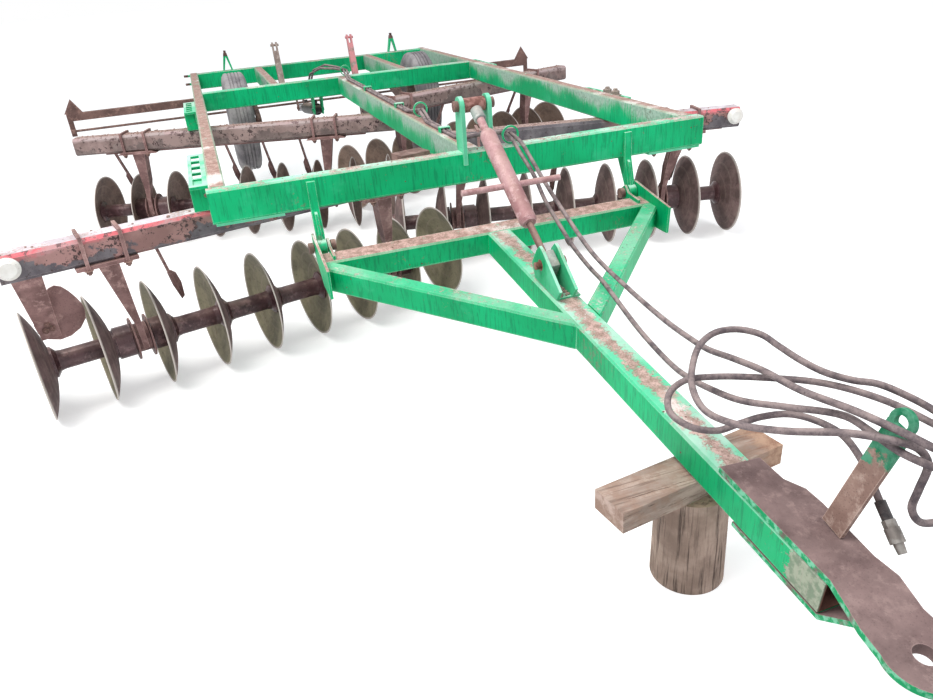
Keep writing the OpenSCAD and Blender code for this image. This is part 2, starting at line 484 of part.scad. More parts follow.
cyl_a = atan2(cyl_z - pin_z, pin_y - cyl_y);
cyl_l = sqrt((pin_y - cyl_y) * (pin_y - cyl_y) + (pin_z - cyl_z) * (pin_z - cyl_z));
module along_cylinder() translate([lift_x, cyl_y, cyl_z]) rotate([-cyl_a, 0, 0]) children();
module cylinder_barrel() color([0.3, 0.28, 0.27]) place() along_cylinder() difference() {
  union() {
    rotate([0, 90, 0]) cylinder(r = 34, h = 50, center = true);
    translate([-22, 10, -30]) cube([44, 60, 60]);
    translate([0, 60, 0]) rotate([-90, 0, 0]) cylinder(r = 52, h = 760);
    for (y = [90, 770]) translate([-16, y, 40]) cube([32, 40, 40]);
  }
  rotate([0, 90, 0]) cylinder(r = 16 + fit_gap, h = 80, center = true);
  translate([0, 300, 0]) rotate([-90, 0, 0]) cylinder(r = 20 + fit_gap, h = 600);
}
module cylinder_rod() color([0.75, 0.75, 0.76]) place() along_cylinder() difference() {
  union() {
    translate([0, 500, 0]) rotate([-90, 0, 0]) cylinder(r = 20, h = cyl_l - 500 - 24);
    translate([0, cyl_l, 0]) rotate([0, 90, 0]) cylinder(r = 36, h = 46, center = true);
  }
  translate([0, cyl_l, 0]) rotate([0, 90, 0]) cylinder(r = 14 + 5.6, h = 80, center = true);
}

// everything on the drawbar is drawn level with the pivot at zero, then pitched
module on_drawbar() translate([0, hinge_y, hinge_z]) rotate([drawbar_pitch, 0, 0]) children();
bar_top = -13;
tongue_x = 14;
cross_y = -104;
join_y = -1120;
module tongue() color(green) place() on_drawbar()
  difference() {
    translate([tongue_x, -2440, bar_top - bar_h / 2]) tube_y(2440 + cross_y - bar_h / 2, tongue_w, bar_h);
    translate([tongue_x - tongue_w / 2 + 8, -2450, bar_top - bar_h + 8]) cube([tongue_w - 16, 190, bar_h - 16]);
  }
module braces() color(green) place() on_drawbar() {
  brace_a = atan2(-join_y + cross_y - 90, ear_out - 20);
  for (s = [-1, 1]) mirror([s < 0 ? 1 : 0, 0, 0]) intersection() {
    translate([ear_out - 40, cross_y - 100, bar_top - bar_h / 2]) rotate([0, 0, 180 + brace_a]) translate([-120, 0, 0]) tube_x(1400, brace_w, bar_h);
    translate([tongue_w / 2 + s * tongue_x, -1400, bar_top - bar_h]) cube([ear_out - 6 - tongue_w / 2 - s * tongue_x, 1400 + cross_y - bar_h / 2, bar_h]);
  }
}
module cross_tube() color(green) place() on_drawbar() {
  translate([-ear_out + 6, cross_y, bar_top - bar_h / 2]) tube_x(2 * ear_out - 12, bar_h, bar_h);
  for (s = [-1, 1]) difference() {
    union() {
      translate([s * ear_in, 0, 0]) plate_x(12, [[-38, 10], [0, 40], [36, 10], [10, -36], [cross_y + 40, bar_top - 6], [cross_y - 40, bar_top - 6], [cross_y - 40, bar_top + 20]]);
      translate([s * ear_out, 0, 0]) plate_x(12, [[0, 52], [50, 52], [44, 4], [14, -38], [cross_y - 50, bar_top - bar_h], [-330, bar_top - bar_h + 14], [-330, 24]]);
    }
    translate([s * hinge_x, 0, 0]) rotate([0, 90, 0]) cylinder(r = hinge_pin_r + fit_gap, h = 200, center = true);
  }
}

module hitch_plate() color([0.42, 0.31, 0.28]) place() on_drawbar() difference() {
  union() {
    translate([0, 0, bar_top]) linear_extrude(20) {
      polygon([[-45, -2010], [85, -2020], [88, -2119], [118, -2173], [121, -2235], [108, -2428], [116, -2497], [92, -2590], [nose_r - 2, -eye_at], [2 - nose_r, -eye_at], [-80, -2580], [-45, -2450]]);
      translate([0, -eye_at]) circle(r = nose_r);
    }
    translate([tongue_x, 0, 0]) plate_x(tongue_w, [[-2100, bar_top - bar_h], [-2440, bar_top - bar_h], [-2566, bar_top], [-eye_at - 40, bar_top], [-eye_at - 40, bar_top - 14], [-2572, bar_top - 14], [-2446, bar_top - bar_h - 14], [-2100, bar_top - bar_h - 14]]);
  }
  translate([0, -eye_at, bar_top - 60]) cylinder(r = eye_r, h = 120);
}

// levelling screw between the mast pin and the clevis on the tongue
clevis_y = -751;
clevis_z = 78;
module screw_clevis() color(green) place() on_drawbar() {
  translate([-30, -906, bar_top]) cube([104, 226, 8]);
  for (x = [-31, 39]) difference() {
    translate([x, 0, 0]) plate_x(12, [[-912, bar_top + 8], [-703, bar_top + 8], [-664, 53], [-708, 128], [-736, 158], [-765, 150], [-940, 41]]);
    translate([x, clevis_y, clevis_z]) rotate([0, 90, 0]) cylinder(r = 16 + fit_gap / 4, h = 40, center = true);
  }
  translate([4, clevis_y, clevis_z]) rotate([0, 90, 0]) {
    cylinder(r = 16, h = 130, center = true);
    translate([0, 0, 62]) cylinder(r = 22, h = 18, center = true);
  }
}

// where the clevis pin stands at rest, in the frame's directions
far_y = hinge_y + clevis_y * cos(drawbar_pitch) - clevis_z * sin(drawbar_pitch);
far_z = hinge_z + clevis_y * sin(drawbar_pitch) + clevis_z * cos(drawbar_pitch);
near_y = mast_y;
near_z = top_z + mast_pin_z;
screw_a = atan2(near_z - far_z, near_y - far_y);
screw_l = sqrt((near_y - far_y) * (near_y - far_y) + (near_z - far_z) * (near_z - far_z));
module along_screw() translate([0, near_y, near_z]) rotate([screw_a, 0, 0]) mirror([0, 1, 0]) children();
module screw_barrel() color([0.62, 0.46, 0.43]) place() along_screw() difference() {
  union() {
    rotate([0, 90, 0]) cylinder(r = 34, h = 2 * (mast_x - 10 - side_gap), center = true);
    translate([0, 20, 0]) rotate([-90, 0, 0]) cylinder(r = rod_r + 4, h = 190);
    translate([0, 196, 0]) rotate([-90, 0, 0]) cylinder(r1 = barrel_r - 8, r2 = barrel_r, h = 20);
    translate([0, 216, 0]) rotate([-90, 0, 0]) cylinder(r = barrel_r, h = 524);
    translate([0, 740, 0]) rotate([-90, 0, 0]) cylinder(r1 = barrel_r, r2 = barrel_r - 8, h = 16);
    translate([0, 530, 0]) rotate([0, 90, 0]) cylinder(r = 14, h = 470, center = true, $fn = 16);
  }
  rotate([0, 90, 0]) cylinder(r = 16 + fit_gap, h = 200, center = true);
  translate([0, 560, 0]) rotate([-90, 0, 0]) cylinder(r = rod_r + fit_gap, h = 300);
}
module screw_rod() color([0.5, 0.38, 0.34]) place() along_screw() difference() {
  union() {
    translate([0, 600, 0]) rotate([-90, 0, 0]) cylinder(r = rod_r, h = screw_l - 600 - 24);
    translate([4, screw_l, 0]) rotate([0, 90, 0]) cylinder(r = 34, h = 46, center = true);
  }
  translate([0, screw_l, 0]) rotate([0, 90, 0]) cylinder(r = 16 + 4, h = 100, center = true);
}

module hose_stand() color([0.45, 0.36, 0.32]) place() on_drawbar() translate([76, -2320, bar_top + 26.5]) rotate([8, 8, 0]) {
  translate([-7, -34, 0]) cube([14, 68, 360]);
  translate([0, 0, 372]) rotate([0, 90, 0]) difference() {
    cylinder(r = 34, h = 14, center = true);
    cylinder(r = 18, h = 40, center = true);
  }
}

stump_y = -1872;
timber_h = 74;
// the sloping tongue rests on the timber's front edge
timber_top = hinge_z + (stump_y - 78 - hinge_y) * tan(drawbar_pitch) - (bar_h - bar_top) / cos(drawbar_pitch) - 0.4;
module stand_timber() color([0.68, 0.58, 0.5]) place() translate([-10, stump_y, timber_top - timber_h / 2]) rotate([0, 0, 8]) cube([640, 140, timber_h], center = true);
module stand_stump() color([0.6, 0.5, 0.42]) place() translate([0, stump_y, 0]) cylinder(r1 = 122, r2 = 116, h = timber_top - timber_h, $fn = 24);

crossbars();
side_rails();
centre_tubes();
mast();
mast_pin();
hinge_brackets();
hinge_pins();
front_beams();
rear_beams();
hangers();
mount_plates();
front_standards();
rear_standards();
scraper_bars();
scraper_arms();
end_lamps();
furrow_blade();
drag_bar();
rear_brackets();
hose_rings();
hose_lines();
hose_a();
hose_b();
hose_a_end();
hose_b_end();
shaft_blocks();
discs_fl();
spools_fl();
discs_fr();
spools_fr();
discs_rl();
spools_rl();
discs_rr();
spools_rr();
rockshaft();
tall_arms();
wheel_arms();
tyre_left();
rim_left();
tyre_right();
rim_right();
cylinder_barrel();
cylinder_rod();
cross_tube();
tongue();
braces();
hitch_plate();
screw_clevis();
hose_stand();
stand_timber();
stand_stump();
screw_barrel();
screw_rod();
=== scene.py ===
"""Looks of the disc harrow: camera, light, hoses, paint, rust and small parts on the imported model."""
import json
import math
import random

import bmesh
import bpy
from mathutils import Matrix, Vector


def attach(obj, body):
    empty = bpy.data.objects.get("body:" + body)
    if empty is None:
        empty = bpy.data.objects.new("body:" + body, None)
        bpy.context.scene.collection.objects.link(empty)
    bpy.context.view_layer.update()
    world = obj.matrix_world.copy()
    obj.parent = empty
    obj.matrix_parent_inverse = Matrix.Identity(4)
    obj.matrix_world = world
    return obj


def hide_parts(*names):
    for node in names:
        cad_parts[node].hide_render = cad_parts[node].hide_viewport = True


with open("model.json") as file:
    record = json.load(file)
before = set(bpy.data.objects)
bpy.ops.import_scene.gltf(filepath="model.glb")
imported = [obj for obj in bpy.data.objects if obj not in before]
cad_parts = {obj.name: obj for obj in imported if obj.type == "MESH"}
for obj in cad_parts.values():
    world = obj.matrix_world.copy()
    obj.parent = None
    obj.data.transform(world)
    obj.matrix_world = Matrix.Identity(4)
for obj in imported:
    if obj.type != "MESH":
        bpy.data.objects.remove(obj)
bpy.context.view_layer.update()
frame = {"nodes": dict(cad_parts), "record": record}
scene = bpy.context.scene
scene.view_settings.view_transform = "Standard"

# ---------------------------------------------------------------- the part's sizes and places
MID_Y = 1.2753   # the source's y of the row's origin
TOP_Z = 1.070    # top of the main frame tubes
TUBE_H = 0.152   # height of the main frame tubes
BEAM = 0.127     # side of the square gang beams
BEAM_LOW = TOP_Z - TUBE_H - BEAM
RAIL_X = 1274    # outer face of the side rails, in mm
TONGUE_X = 0.014             # middle of the tongue
PITCH = math.radians(5.57)   # how far the drawbar points down
EYE = (0.0, -3.989662, 0.47463)   # middle of the hitch eye
HOSE = 0.019                      # diameter of the hoses
WHEEL = (895, 4259.6, -389.7)     # middle of the right wheel, in the source's mm
TYRE_R = 0.45


def at(x, y, z=0.0):
    """A point of the source, in mm with z from the frame's top, as metres in the row's frame."""
    return Vector((x / 1000, y / 1000 - MID_Y, z / 1000 + TOP_Z))


HINGE = at(0, -45, -325)    # the drawbar's pivots
MAST_PIN = at(0, 20, 215)   # upper pin of the levelling screw


def on_bar(x, y, z):
    """A place given along the drawbar, in mm from its pivots."""
    return HINGE + Matrix.Rotation(PITCH, 3, "X") @ Vector((x, y, z)) / 1000


CLEVIS = on_bar(4, -751, 78)   # lower pin of the levelling screw

GANGS = {  # side, crossing on the rail, turn in degrees, clamps' places along the beam
    "front_left": (-1, 340, -14, (540, -910)),
    "front_right": (1, 997, -14, (489, -961)),
    "rear_left": (-1, 2728, 18, (498, -952)),
    "rear_right": (1, 3318, 18, (498, -952)),
}


def on_gang(gang, u, v, z):
    """A point by its distance along a gang's beam, behind it, and height from the frame's top."""
    side, crossing, turn, _ = GANGS[gang]
    c, k = math.cos(math.radians(turn)), math.sin(math.radians(turn))
    return at(side * (RAIL_X + u * c - v * k), crossing + u * k + v * c, z)


# ---------------------------------------------------------------- camera
CAMERA_TURN = math.radians(17.1086)
CAMERA_DOWN = math.radians(27.3153)
CAMERA_ROLL = math.radians(4.7651)
CAMERA_PLACE = (-1.2169, -4.7689, 1.8920)
PHOTO_WIDTH, FOCAL = 933, 750   # px
level = math.cos(CAMERA_DOWN)
ahead = Vector((math.sin(CAMERA_TURN) * level, math.cos(CAMERA_TURN) * level, -math.sin(CAMERA_DOWN)))
right = Vector((math.cos(CAMERA_TURN), -math.sin(CAMERA_TURN), 0))
down = ahead.cross(right)
image_x = right * math.cos(CAMERA_ROLL) + down * math.sin(CAMERA_ROLL)
image_y = down * math.cos(CAMERA_ROLL) - right * math.sin(CAMERA_ROLL)
lens = bpy.data.cameras.new("camera")
lens.sensor_width = 36
lens.lens = 36 * FOCAL / PHOTO_WIDTH
lens.clip_end = 100
camera = bpy.data.objects.new("camera", lens)
scene.collection.objects.link(camera)
camera_axes = Matrix((image_x, -image_y, -ahead)).transposed().to_4x4()
camera.matrix_world = Matrix.Translation(CAMERA_PLACE) @ camera_axes
scene.camera = camera


# ---------------------------------------------------------------- shader building
def feed(tree, socket, value):
    """Links a Flow to the socket, or sets the socket to a plain value."""
    if isinstance(value, Flow):
        tree.links.new(value.socket, socket)
    elif value is not None:
        socket.default_value = value


def srgb(r, g, b):
    """A colour of 0 to 255 as the linear values that shaders take."""
    return tuple((c / 255 / 12.92) if c <= 10.31 else ((c / 255 + 0.055) / 1.055) ** 2.4 for c in (r, g, b))


class Flow:
    """A shader socket that takes part in plain expressions; each operator adds its Math node."""

    def __init__(self, tree, socket):
        self.tree = tree
        self.socket = socket

    def math(self, operation, *values, clamp=False):
        node = self.tree.nodes.new("ShaderNodeMath")
        node.operation = operation
        node.use_clamp = clamp
        for place, value in zip(node.inputs, values):
            feed(self.tree, place, value)
        return Flow(self.tree, node.outputs[0])

    def __add__(self, other):
        return self.math("ADD", self, other)

    def __sub__(self, other):
        return self.math("SUBTRACT", self, other)

    def __rsub__(self, other):
        return self.math("SUBTRACT", other, self)

    def __mul__(self, other):
        return self.math("MULTIPLY", self, other)

    def __truediv__(self, other):
        return self.math("DIVIDE", self, other)

    def __gt__(self, other):
        return self.math("GREATER_THAN", self, other)

    def __lt__(self, other):
        return self.math("LESS_THAN", self, other)

    def __abs__(self):
        return self.math("ABSOLUTE", self)

    __radd__ = __add__

    def limit(self):
        """Kept between 0 and 1."""
        return self.math("ADD", self, 0.0, clamp=True)

    def step(self, low, high):
        """0 below low, 1 above high, smooth between."""
        node = self.tree.nodes.new("ShaderNodeMapRange")
        node.interpolation_type = "SMOOTHSTEP"
        feed(self.tree, node.inputs["Value"], self)
        node.inputs["From Min"].default_value = low
        node.inputs["From Max"].default_value = high
        return Flow(self.tree, node.outputs[0])


class Finish:
    """A material under construction."""

    def __init__(self, name):
        self.material = bpy.data.materials.new(name)
        self.material.use_nodes = True
        self.tree = self.material.node_tree
        self.tree.nodes.clear()
        self.shader = self.tree.nodes.new("ShaderNodeBsdfPrincipled")
        out = self.tree.nodes.new("ShaderNodeOutputMaterial")
        self.tree.links.new(self.shader.outputs[0], out.inputs[0])
        self.place = self.node("ShaderNodeTexCoord", out="Object")

    def node(self, kind, settings=None, out=0, **values):
        node = self.tree.nodes.new(kind)
        for name, value in (settings or {}).items():
            setattr(node, name, value)
        for name, value in values.items():
            feed(self.tree, node.inputs[name.replace("_", " ")], value)
        return Flow(self.tree, node.outputs[out])

    def noise(self, scale, detail=4.0, rough=0.6, place=None, stretch=None):
        place = place or self.place
        if stretch:
            place = self.node("ShaderNodeMapping", Vector=place, Scale=stretch)
        return self.node("ShaderNodeTexNoise", Vector=place, Scale=scale, Detail=detail, Roughness=rough)

    def cells(self, scale):
        return self.node("ShaderNodeTexVoronoi", Vector=self.place, Scale=scale)

    def split(self, vector):
        node = self.tree.nodes.new("ShaderNodeSeparateXYZ")
        feed(self.tree, node.inputs[0], vector)
        return [Flow(self.tree, socket) for socket in node.outputs]

    def mix(self, share, low, high):
        node = self.tree.nodes.new("ShaderNodeMix")
        node.data_type = "RGBA"
        feed(self.tree, node.inputs["Factor"], share)
        for socket, value in ((node.inputs[6], low), (node.inputs[7], high)):
            feed(self.tree, socket, value if isinstance(value, Flow) else (*value, 1.0))
        return Flow(self.tree, node.outputs[2])

    def patches(self, pattern, one, other):
        """Two tints of 0 to 255, shared out by a pattern of 0 to 1."""
        return self.mix(pattern, srgb(*one), srgb(*other))

    def vector(self, operation, *values, out=0):
        node = self.tree.nodes.new("ShaderNodeVectorMath")
        node.operation = operation
        for place, value in zip(node.inputs, values):
            feed(self.tree, place, value)
        return Flow(self.tree, node.outputs[out])

    def normal(self):
        return self.node("ShaderNodeNewGeometry", out="Normal")

    def facing(self):
        """The face normal's three parts."""
        return self.split(self.normal())

    def edges(self, radius=0.006):
        """1 along edges, 0 on flats."""
        rounded = self.node("ShaderNodeBevel", {"samples": 4}, Radius=radius)
        return (1 - self.vector("DOT_PRODUCT", rounded, self.normal(), out="Value")).step(0.01, 0.16)

    def set(self, **values):
        for name, value in values.items():
            plain = isinstance(value, (Flow, float, int))
            feed(self.tree, self.shader.inputs[name.replace("_", " ")], value if plain else (*value, 1.0))

    def bump(self, height, strength, distance):
        self.set(Normal=self.node("ShaderNodeBump", Height=height, Strength=strength, Distance=distance))

    def over(self, where, tint):
        """Lays a second colour over the one that is set."""
        under = Flow(self.tree, self.shader.inputs["Base Color"].links[0].from_socket)
        self.set(Base_Color=self.mix(where, under, tint))


# ---------------------------------------------------------------- floor, sky and light
def seen_directly(tree):
    """1 for rays from the camera and for reflections, which see white; 0 for those that light the machine."""
    rays = tree.nodes.new("ShaderNodeLightPath")
    kinds = ("Is Camera Ray", "Is Glossy Ray", "Is Transmission Ray")
    camera_ray, glossy, through = (Flow(tree, rays.outputs[kind]) for kind in kinds)
    return (camera_ray + glossy + through).limit()


floor_finish = Finish("pale floor")
floor_finish.set(Base_Color=(0.8, 0.8, 0.8), Roughness=0.9, Emission_Strength=0.42)
floor_finish.set(Emission_Color=floor_finish.mix(seen_directly(floor_finish.tree), (0, 0, 0), (1, 1, 1)))
bpy.ops.mesh.primitive_plane_add(size=160, location=(0, 0, -0.001))
floor = bpy.context.object
floor.name = "floor"
floor.data.materials.append(floor_finish.material)

world = bpy.data.worlds.new("studio")
scene.world = world
world.use_nodes = True
sky = world.node_tree
light_sky = sky.nodes["Background"]
light_sky.inputs[0].default_value = (0.92, 0.95, 1.0, 1)
light_sky.inputs[1].default_value = 0.75
backdrop = sky.nodes.new("ShaderNodeBackground")
backdrop.inputs[0].default_value = (1, 1, 1, 1)
backdrop.inputs[1].default_value = 1.0
either = sky.nodes.new("ShaderNodeMixShader")
feed(sky, either.inputs[0], seen_directly(sky))
sky.links.new(light_sky.outputs[0], either.inputs[1])
sky.links.new(backdrop.outputs[0], either.inputs[2])
sky.links.new(either.outputs[0], sky.nodes["World Output"].inputs[0])


def lamp(name, place, aim, size, watts, tint=(1, 1, 1)):
    light = bpy.data.lights.new(name, "AREA")
    light.size = size
    light.energy = watts
    light.color = tint
    body = bpy.data.objects.new(name, light)
    scene.collection.objects.link(body)
    body.location = place
    body.rotation_euler = (Vector(aim) - Vector(place)).to_track_quat("-Z", "Y").to_euler()


lamp("high soft lamp", (-3.5, -2.0, 7.5), (0, 0, 0.4), 5.0, 620, (1.0, 0.98, 0.95))
lamp("side soft lamp", (6.0, -6.0, 5.0), (0, -1, 0.4), 4.0, 160)

# ---------------------------------------------------------------- hoses, along the source's own points
ROUTE_A = [
    (178, 60, 45), (175, -30, 30), (180, -110, -20), (190, -240, -100), (195, -350, -195),
    (200, -480, -270), (205, -615, -340), (215, -750, -394), (200, -895, -403), (170, -1045, -408),
    (120, -1340, -430), (65, -1630, -415), (25, -1775, -375), (0, -1915, -335), (-5, -2060, -295),
    (30, -2195, -250), (76, -2330, -212), (82, -2405, -215), (100, -2480, -232), (146, -2560, -245),
    (200, -2600, -260), (260, -2610, -275), (315, -2580, -285), (345, -2525, -285), (340, -2460, -280),
    (310, -2400, -270), (250, -2290, -240), (165, -2170, -228), (70, -2055, -245), (-30, -1965, -262),
    (-95, -1925, -278), (-150, -1935, -300), (-180, -1985, -325), (-155, -2045, -345), (-95, -2080, -355),
    (-30, -2090, -345), (35, -2100, -335), (90, -2135, -322), (125, -2190, -318), (155, -2260, -332),
    (165, -2325, -375), (155, -2405, -440),
]
ROUTE_B = [
    (202, 60, 45), (205, -65, 20), (205, -195, -45), (205, -330, -115), (200, -465, -170),
    (190, -750, -275), (180, -895, -305), (160, -1195, -330), (125, -1490, -325), (110, -1640, -315),
    (80, -1785, -285), (55, -1930, -240), (40, -2070, -205), (40, -2220, -190), (65, -2365, -175),
    (98, -2480, -180), (130, -2540, -195), (185, -2570, -215), (245, -2565, -235), (292, -2515, -240),
    (310, -2445, -245), (312, -2370, -238), (298, -2300, -230), (260, -2245, -215), (205, -2215, -205),
    (160, -2165, -195), (138, -2100, -185), (135, -2020, -180), (132, -1945, -175), (95, -1890, -175),
    (40, -1870, -180), (-20, -1885, -195), (-75, -1930, -220), (-120, -1995, -255), (-135, -2075, -280),
    (-115, -2165, -275), (-60, -2280, -245), (20, -2393, -206), (68, -2456, -198), (128, -2492, -220),
    (160, -2500, -270), (150, -2500, -335), (150, -2495, -395), (185, -2500, -445), (245, -2505, -455),
    (285, -2505, -430),
]


def smooth_way(points, parts=6):
    """A smooth line through the points, with this many parts between two of them."""
    ends = [points[0] * 2 - points[1], *points, points[-1] * 2 - points[-2]]
    line = []
    for a, b, c, d in zip(ends, ends[1:], ends[2:], ends[3:]):
        stops = [0.0]
        for p, q in ((a, b), (b, c), (c, d)):
            stops.append(stops[-1] + (q - p).length ** 0.5)
        s0, s1, s2, s3 = stops
        for k in range(parts):
            s = s1 + (s2 - s1) * k / parts
            ab = a * ((s1 - s) / (s1 - s0)) + b * ((s - s0) / (s1 - s0))
            bc = b * ((s2 - s) / (s2 - s1)) + c * ((s - s1) / (s2 - s1))
            cd = c * ((s3 - s) / (s3 - s2)) + d * ((s - s2) / (s3 - s2))
            low = ab * ((s2 - s) / (s2 - s0)) + bc * ((s - s0) / (s2 - s0))
            high = bc * ((s3 - s) / (s3 - s1)) + cd * ((s - s1) / (s3 - s1))
            line.append(low * ((s2 - s) / (s2 - s1)) + high * ((s - s1) / (s2 - s1)))
    return line + [points[-1]]


def hose(name, route, node):
    """A round hose along the route, in place of the source's plain one."""
    line = smooth_way([at(*p) for p in route])
    curve = bpy.data.curves.new(name, "CURVE")
    curve.dimensions = "3D"
    curve.bevel_depth = HOSE / 2
    curve.bevel_resolution = 4
    curve.use_fill_caps = True
    spline = curve.splines.new("POLY")
    spline.points.add(len(line) - 1)
    for point, place in zip(spline.points, line):
        point.co = (*place, 1)
    spline.use_smooth = True
    piece = bpy.data.objects.new(name, curve)
    scene.collection.objects.link(piece)
    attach(piece, "frame")
    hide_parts(node)
    length = sum((q - p).length for p, q in zip(line, line[1:]))
    return piece


hose_left = hose("hose_left", ROUTE_A, "hose_a")
hose_right = hose("hose_right", ROUTE_B, "hose_b")


# ---------------------------------------------------------------- finishes
def green_paint(name, soil, low=0.42, pale=(206, 178, 168), fade=0.3, drawn=None, side_fade=0.0, mint=0.0,
                top_fade_and_sunlight=0.65):
    """Green enamel with dark runs, dusty soil on what faces up, pale edges that are worn and carry a painted
    highlight, and rust chips.

    soil is how thick the soil is and low how little of it there is, pale its light tint. fade, side_fade and
    mint say how far the paint has faded in patches, on the rails' sides and towards mint; sun how much paler
    what faces up is, from faded paint and painted sunlight.
    drawn gives the x about which the soil lies on a narrow top, and how far it reaches to each side.
    """
    f = Finish(name)
    across, _, up = f.facing()
    x, _, z = f.split(f.place)
    top = up.step(0.5, 0.85)
    fine = f.noise(52, 6, 0.7)
    grit = f.noise(150, 4, 0.7)
    runs = f.noise(1.0, 5, 0.72, stretch=(95, 95, 7))
    colour = f.patches(f.noise(1.7, 3).step(0.35, 0.65), (0, 158, 98), (0, 186, 120))
    colour = f.mix(runs.step(0.5, 0.6) * 0.5, colour, srgb(0, 110, 74))
    colour = f.mix(f.noise(6, 5).step(0.54, 0.72) * fade, colour, srgb(70, 196, 148))
    if side_fade:
        height = (z - (TOP_Z - TUBE_H)) / TUBE_H
        ragged = f.noise(1.0, 6, 0.75, stretch=(120, 120, 9))
        share = height * 0.9 + (ragged - 0.5) * 1.6 + (f.noise(1.8, 3) - 0.5) * 2.2
        worn_side = abs(across).step(0.6, 0.9) * share.step(0.3, 0.75)
        chalk = f.patches(fine.step(0.4, 0.6), (176, 196, 184), (150, 172, 158))
        colour = f.mix(worn_side * side_fade, colour, chalk)
    if mint:
        colour = f.mix(f.noise(5, 4).step(0.3, 0.6) * mint, colour, srgb(112, 206, 168))
    # what faces up is paler: faded paint, and painted sunlight on the tops and upper chamfers
    faded_and_sunlit_top = f.patches(f.noise(3, 4).step(0.38, 0.6), (116, 218, 178), (214, 238, 228))
    colour = f.mix(top * top_fade_and_sunlight, colour, faded_and_sunlit_top)
    stain = (f.noise(2.6, 7, 0.72) * 0.6 + fine * 0.4).step(0.58, 0.61)
    colour = f.mix(stain * 0.5, colour, srgb(112, 104, 90))
    cover = f.noise(5.5, 6, 0.68) * 0.45 + fine * 0.35 + grit * 0.2
    if drawn:
        middle, reach = drawn
        cover = cover + 0.1 - (abs(x - middle) / reach) * 0.17
    dirt = cover.step(low, low + 0.07) * top * soil
    ground = f.patches(f.noise(26, 6, 0.7).step(0.38, 0.62), (156, 126, 116), pale)
    ground = f.mix(grit.step(0.5, 0.6) * 0.7, ground, srgb(128, 100, 92))
    bare = (f.noise(1.6, 5, 0.6) * 0.8 + grit * 0.2).step(0.56, 0.6)
    ground = f.mix(bare * 0.8, ground, srgb(232, 222, 218))
    colour = f.mix(dirt, colour, ground)
    # pale mint along the edges: paint worn through, and a painted highlight of light on the rounded edges
    worn = f.edges() * f.noise(11, 4).step(0.3, 0.6)
    colour = f.mix(worn * 0.8, colour, srgb(170, 228, 200))
    chips = f.cells(26) < 0.1
    colour = f.mix(chips * f.noise(3.2, 3).step(0.5, 0.62), colour, srgb(92, 58, 46))
    gloss = (0.42 + dirt * 0.46 + fine * 0.12).limit()
    f.set(Base_Color=colour, Roughness=gloss, Specular_IOR_Level=0.2)
    f.bump(fine * 0.3 + grit * dirt * 0.5 + dirt * 0.5 - chips * 0.3, 0.35, 0.004)
    return f


def rusty(name, dark, middle, light, gloss=0.72, dust=0.5, scale=1.0, dust_tint=(178, 150, 138)):
    """Bare iron under rust: blotches, pits, and dust on what faces up."""
    f = Finish(name)
    fine = f.noise(70 * scale, 6, 0.7)
    pits = f.cells(110 * scale).step(0.0, 0.35)
    colour = f.patches(f.noise(5 * scale, 5, 0.66).step(0.36, 0.64), dark, middle)
    colour = f.mix(f.noise(18 * scale, 6, 0.7).step(0.5, 0.66) * 0.75, colour, srgb(*light))
    colour = f.mix((1 - pits) * 0.5, colour, srgb(*[c * 0.55 for c in dark]))
    top = f.facing()[2].step(0.35, 0.9) * f.noise(9, 5).step(0.34, 0.6) * dust
    colour = f.mix(top, colour, srgb(*dust_tint))
    # paler along the edges: worn iron, and a painted highlight on the rounded edges
    colour = f.mix(f.edges(0.004) * 0.45, colour, srgb(*[min(255, c * 1.25 + 20) for c in light]))
    roughness = (gloss + fine * 0.2 - 0.1 + top * 0.2).limit()
    f.set(Base_Color=colour, Roughness=roughness, Metallic=0.12, Specular_IOR_Level=0.4)
    f.bump(fine * 0.5 + pits * 0.5, 0.4, 0.003)
    return f


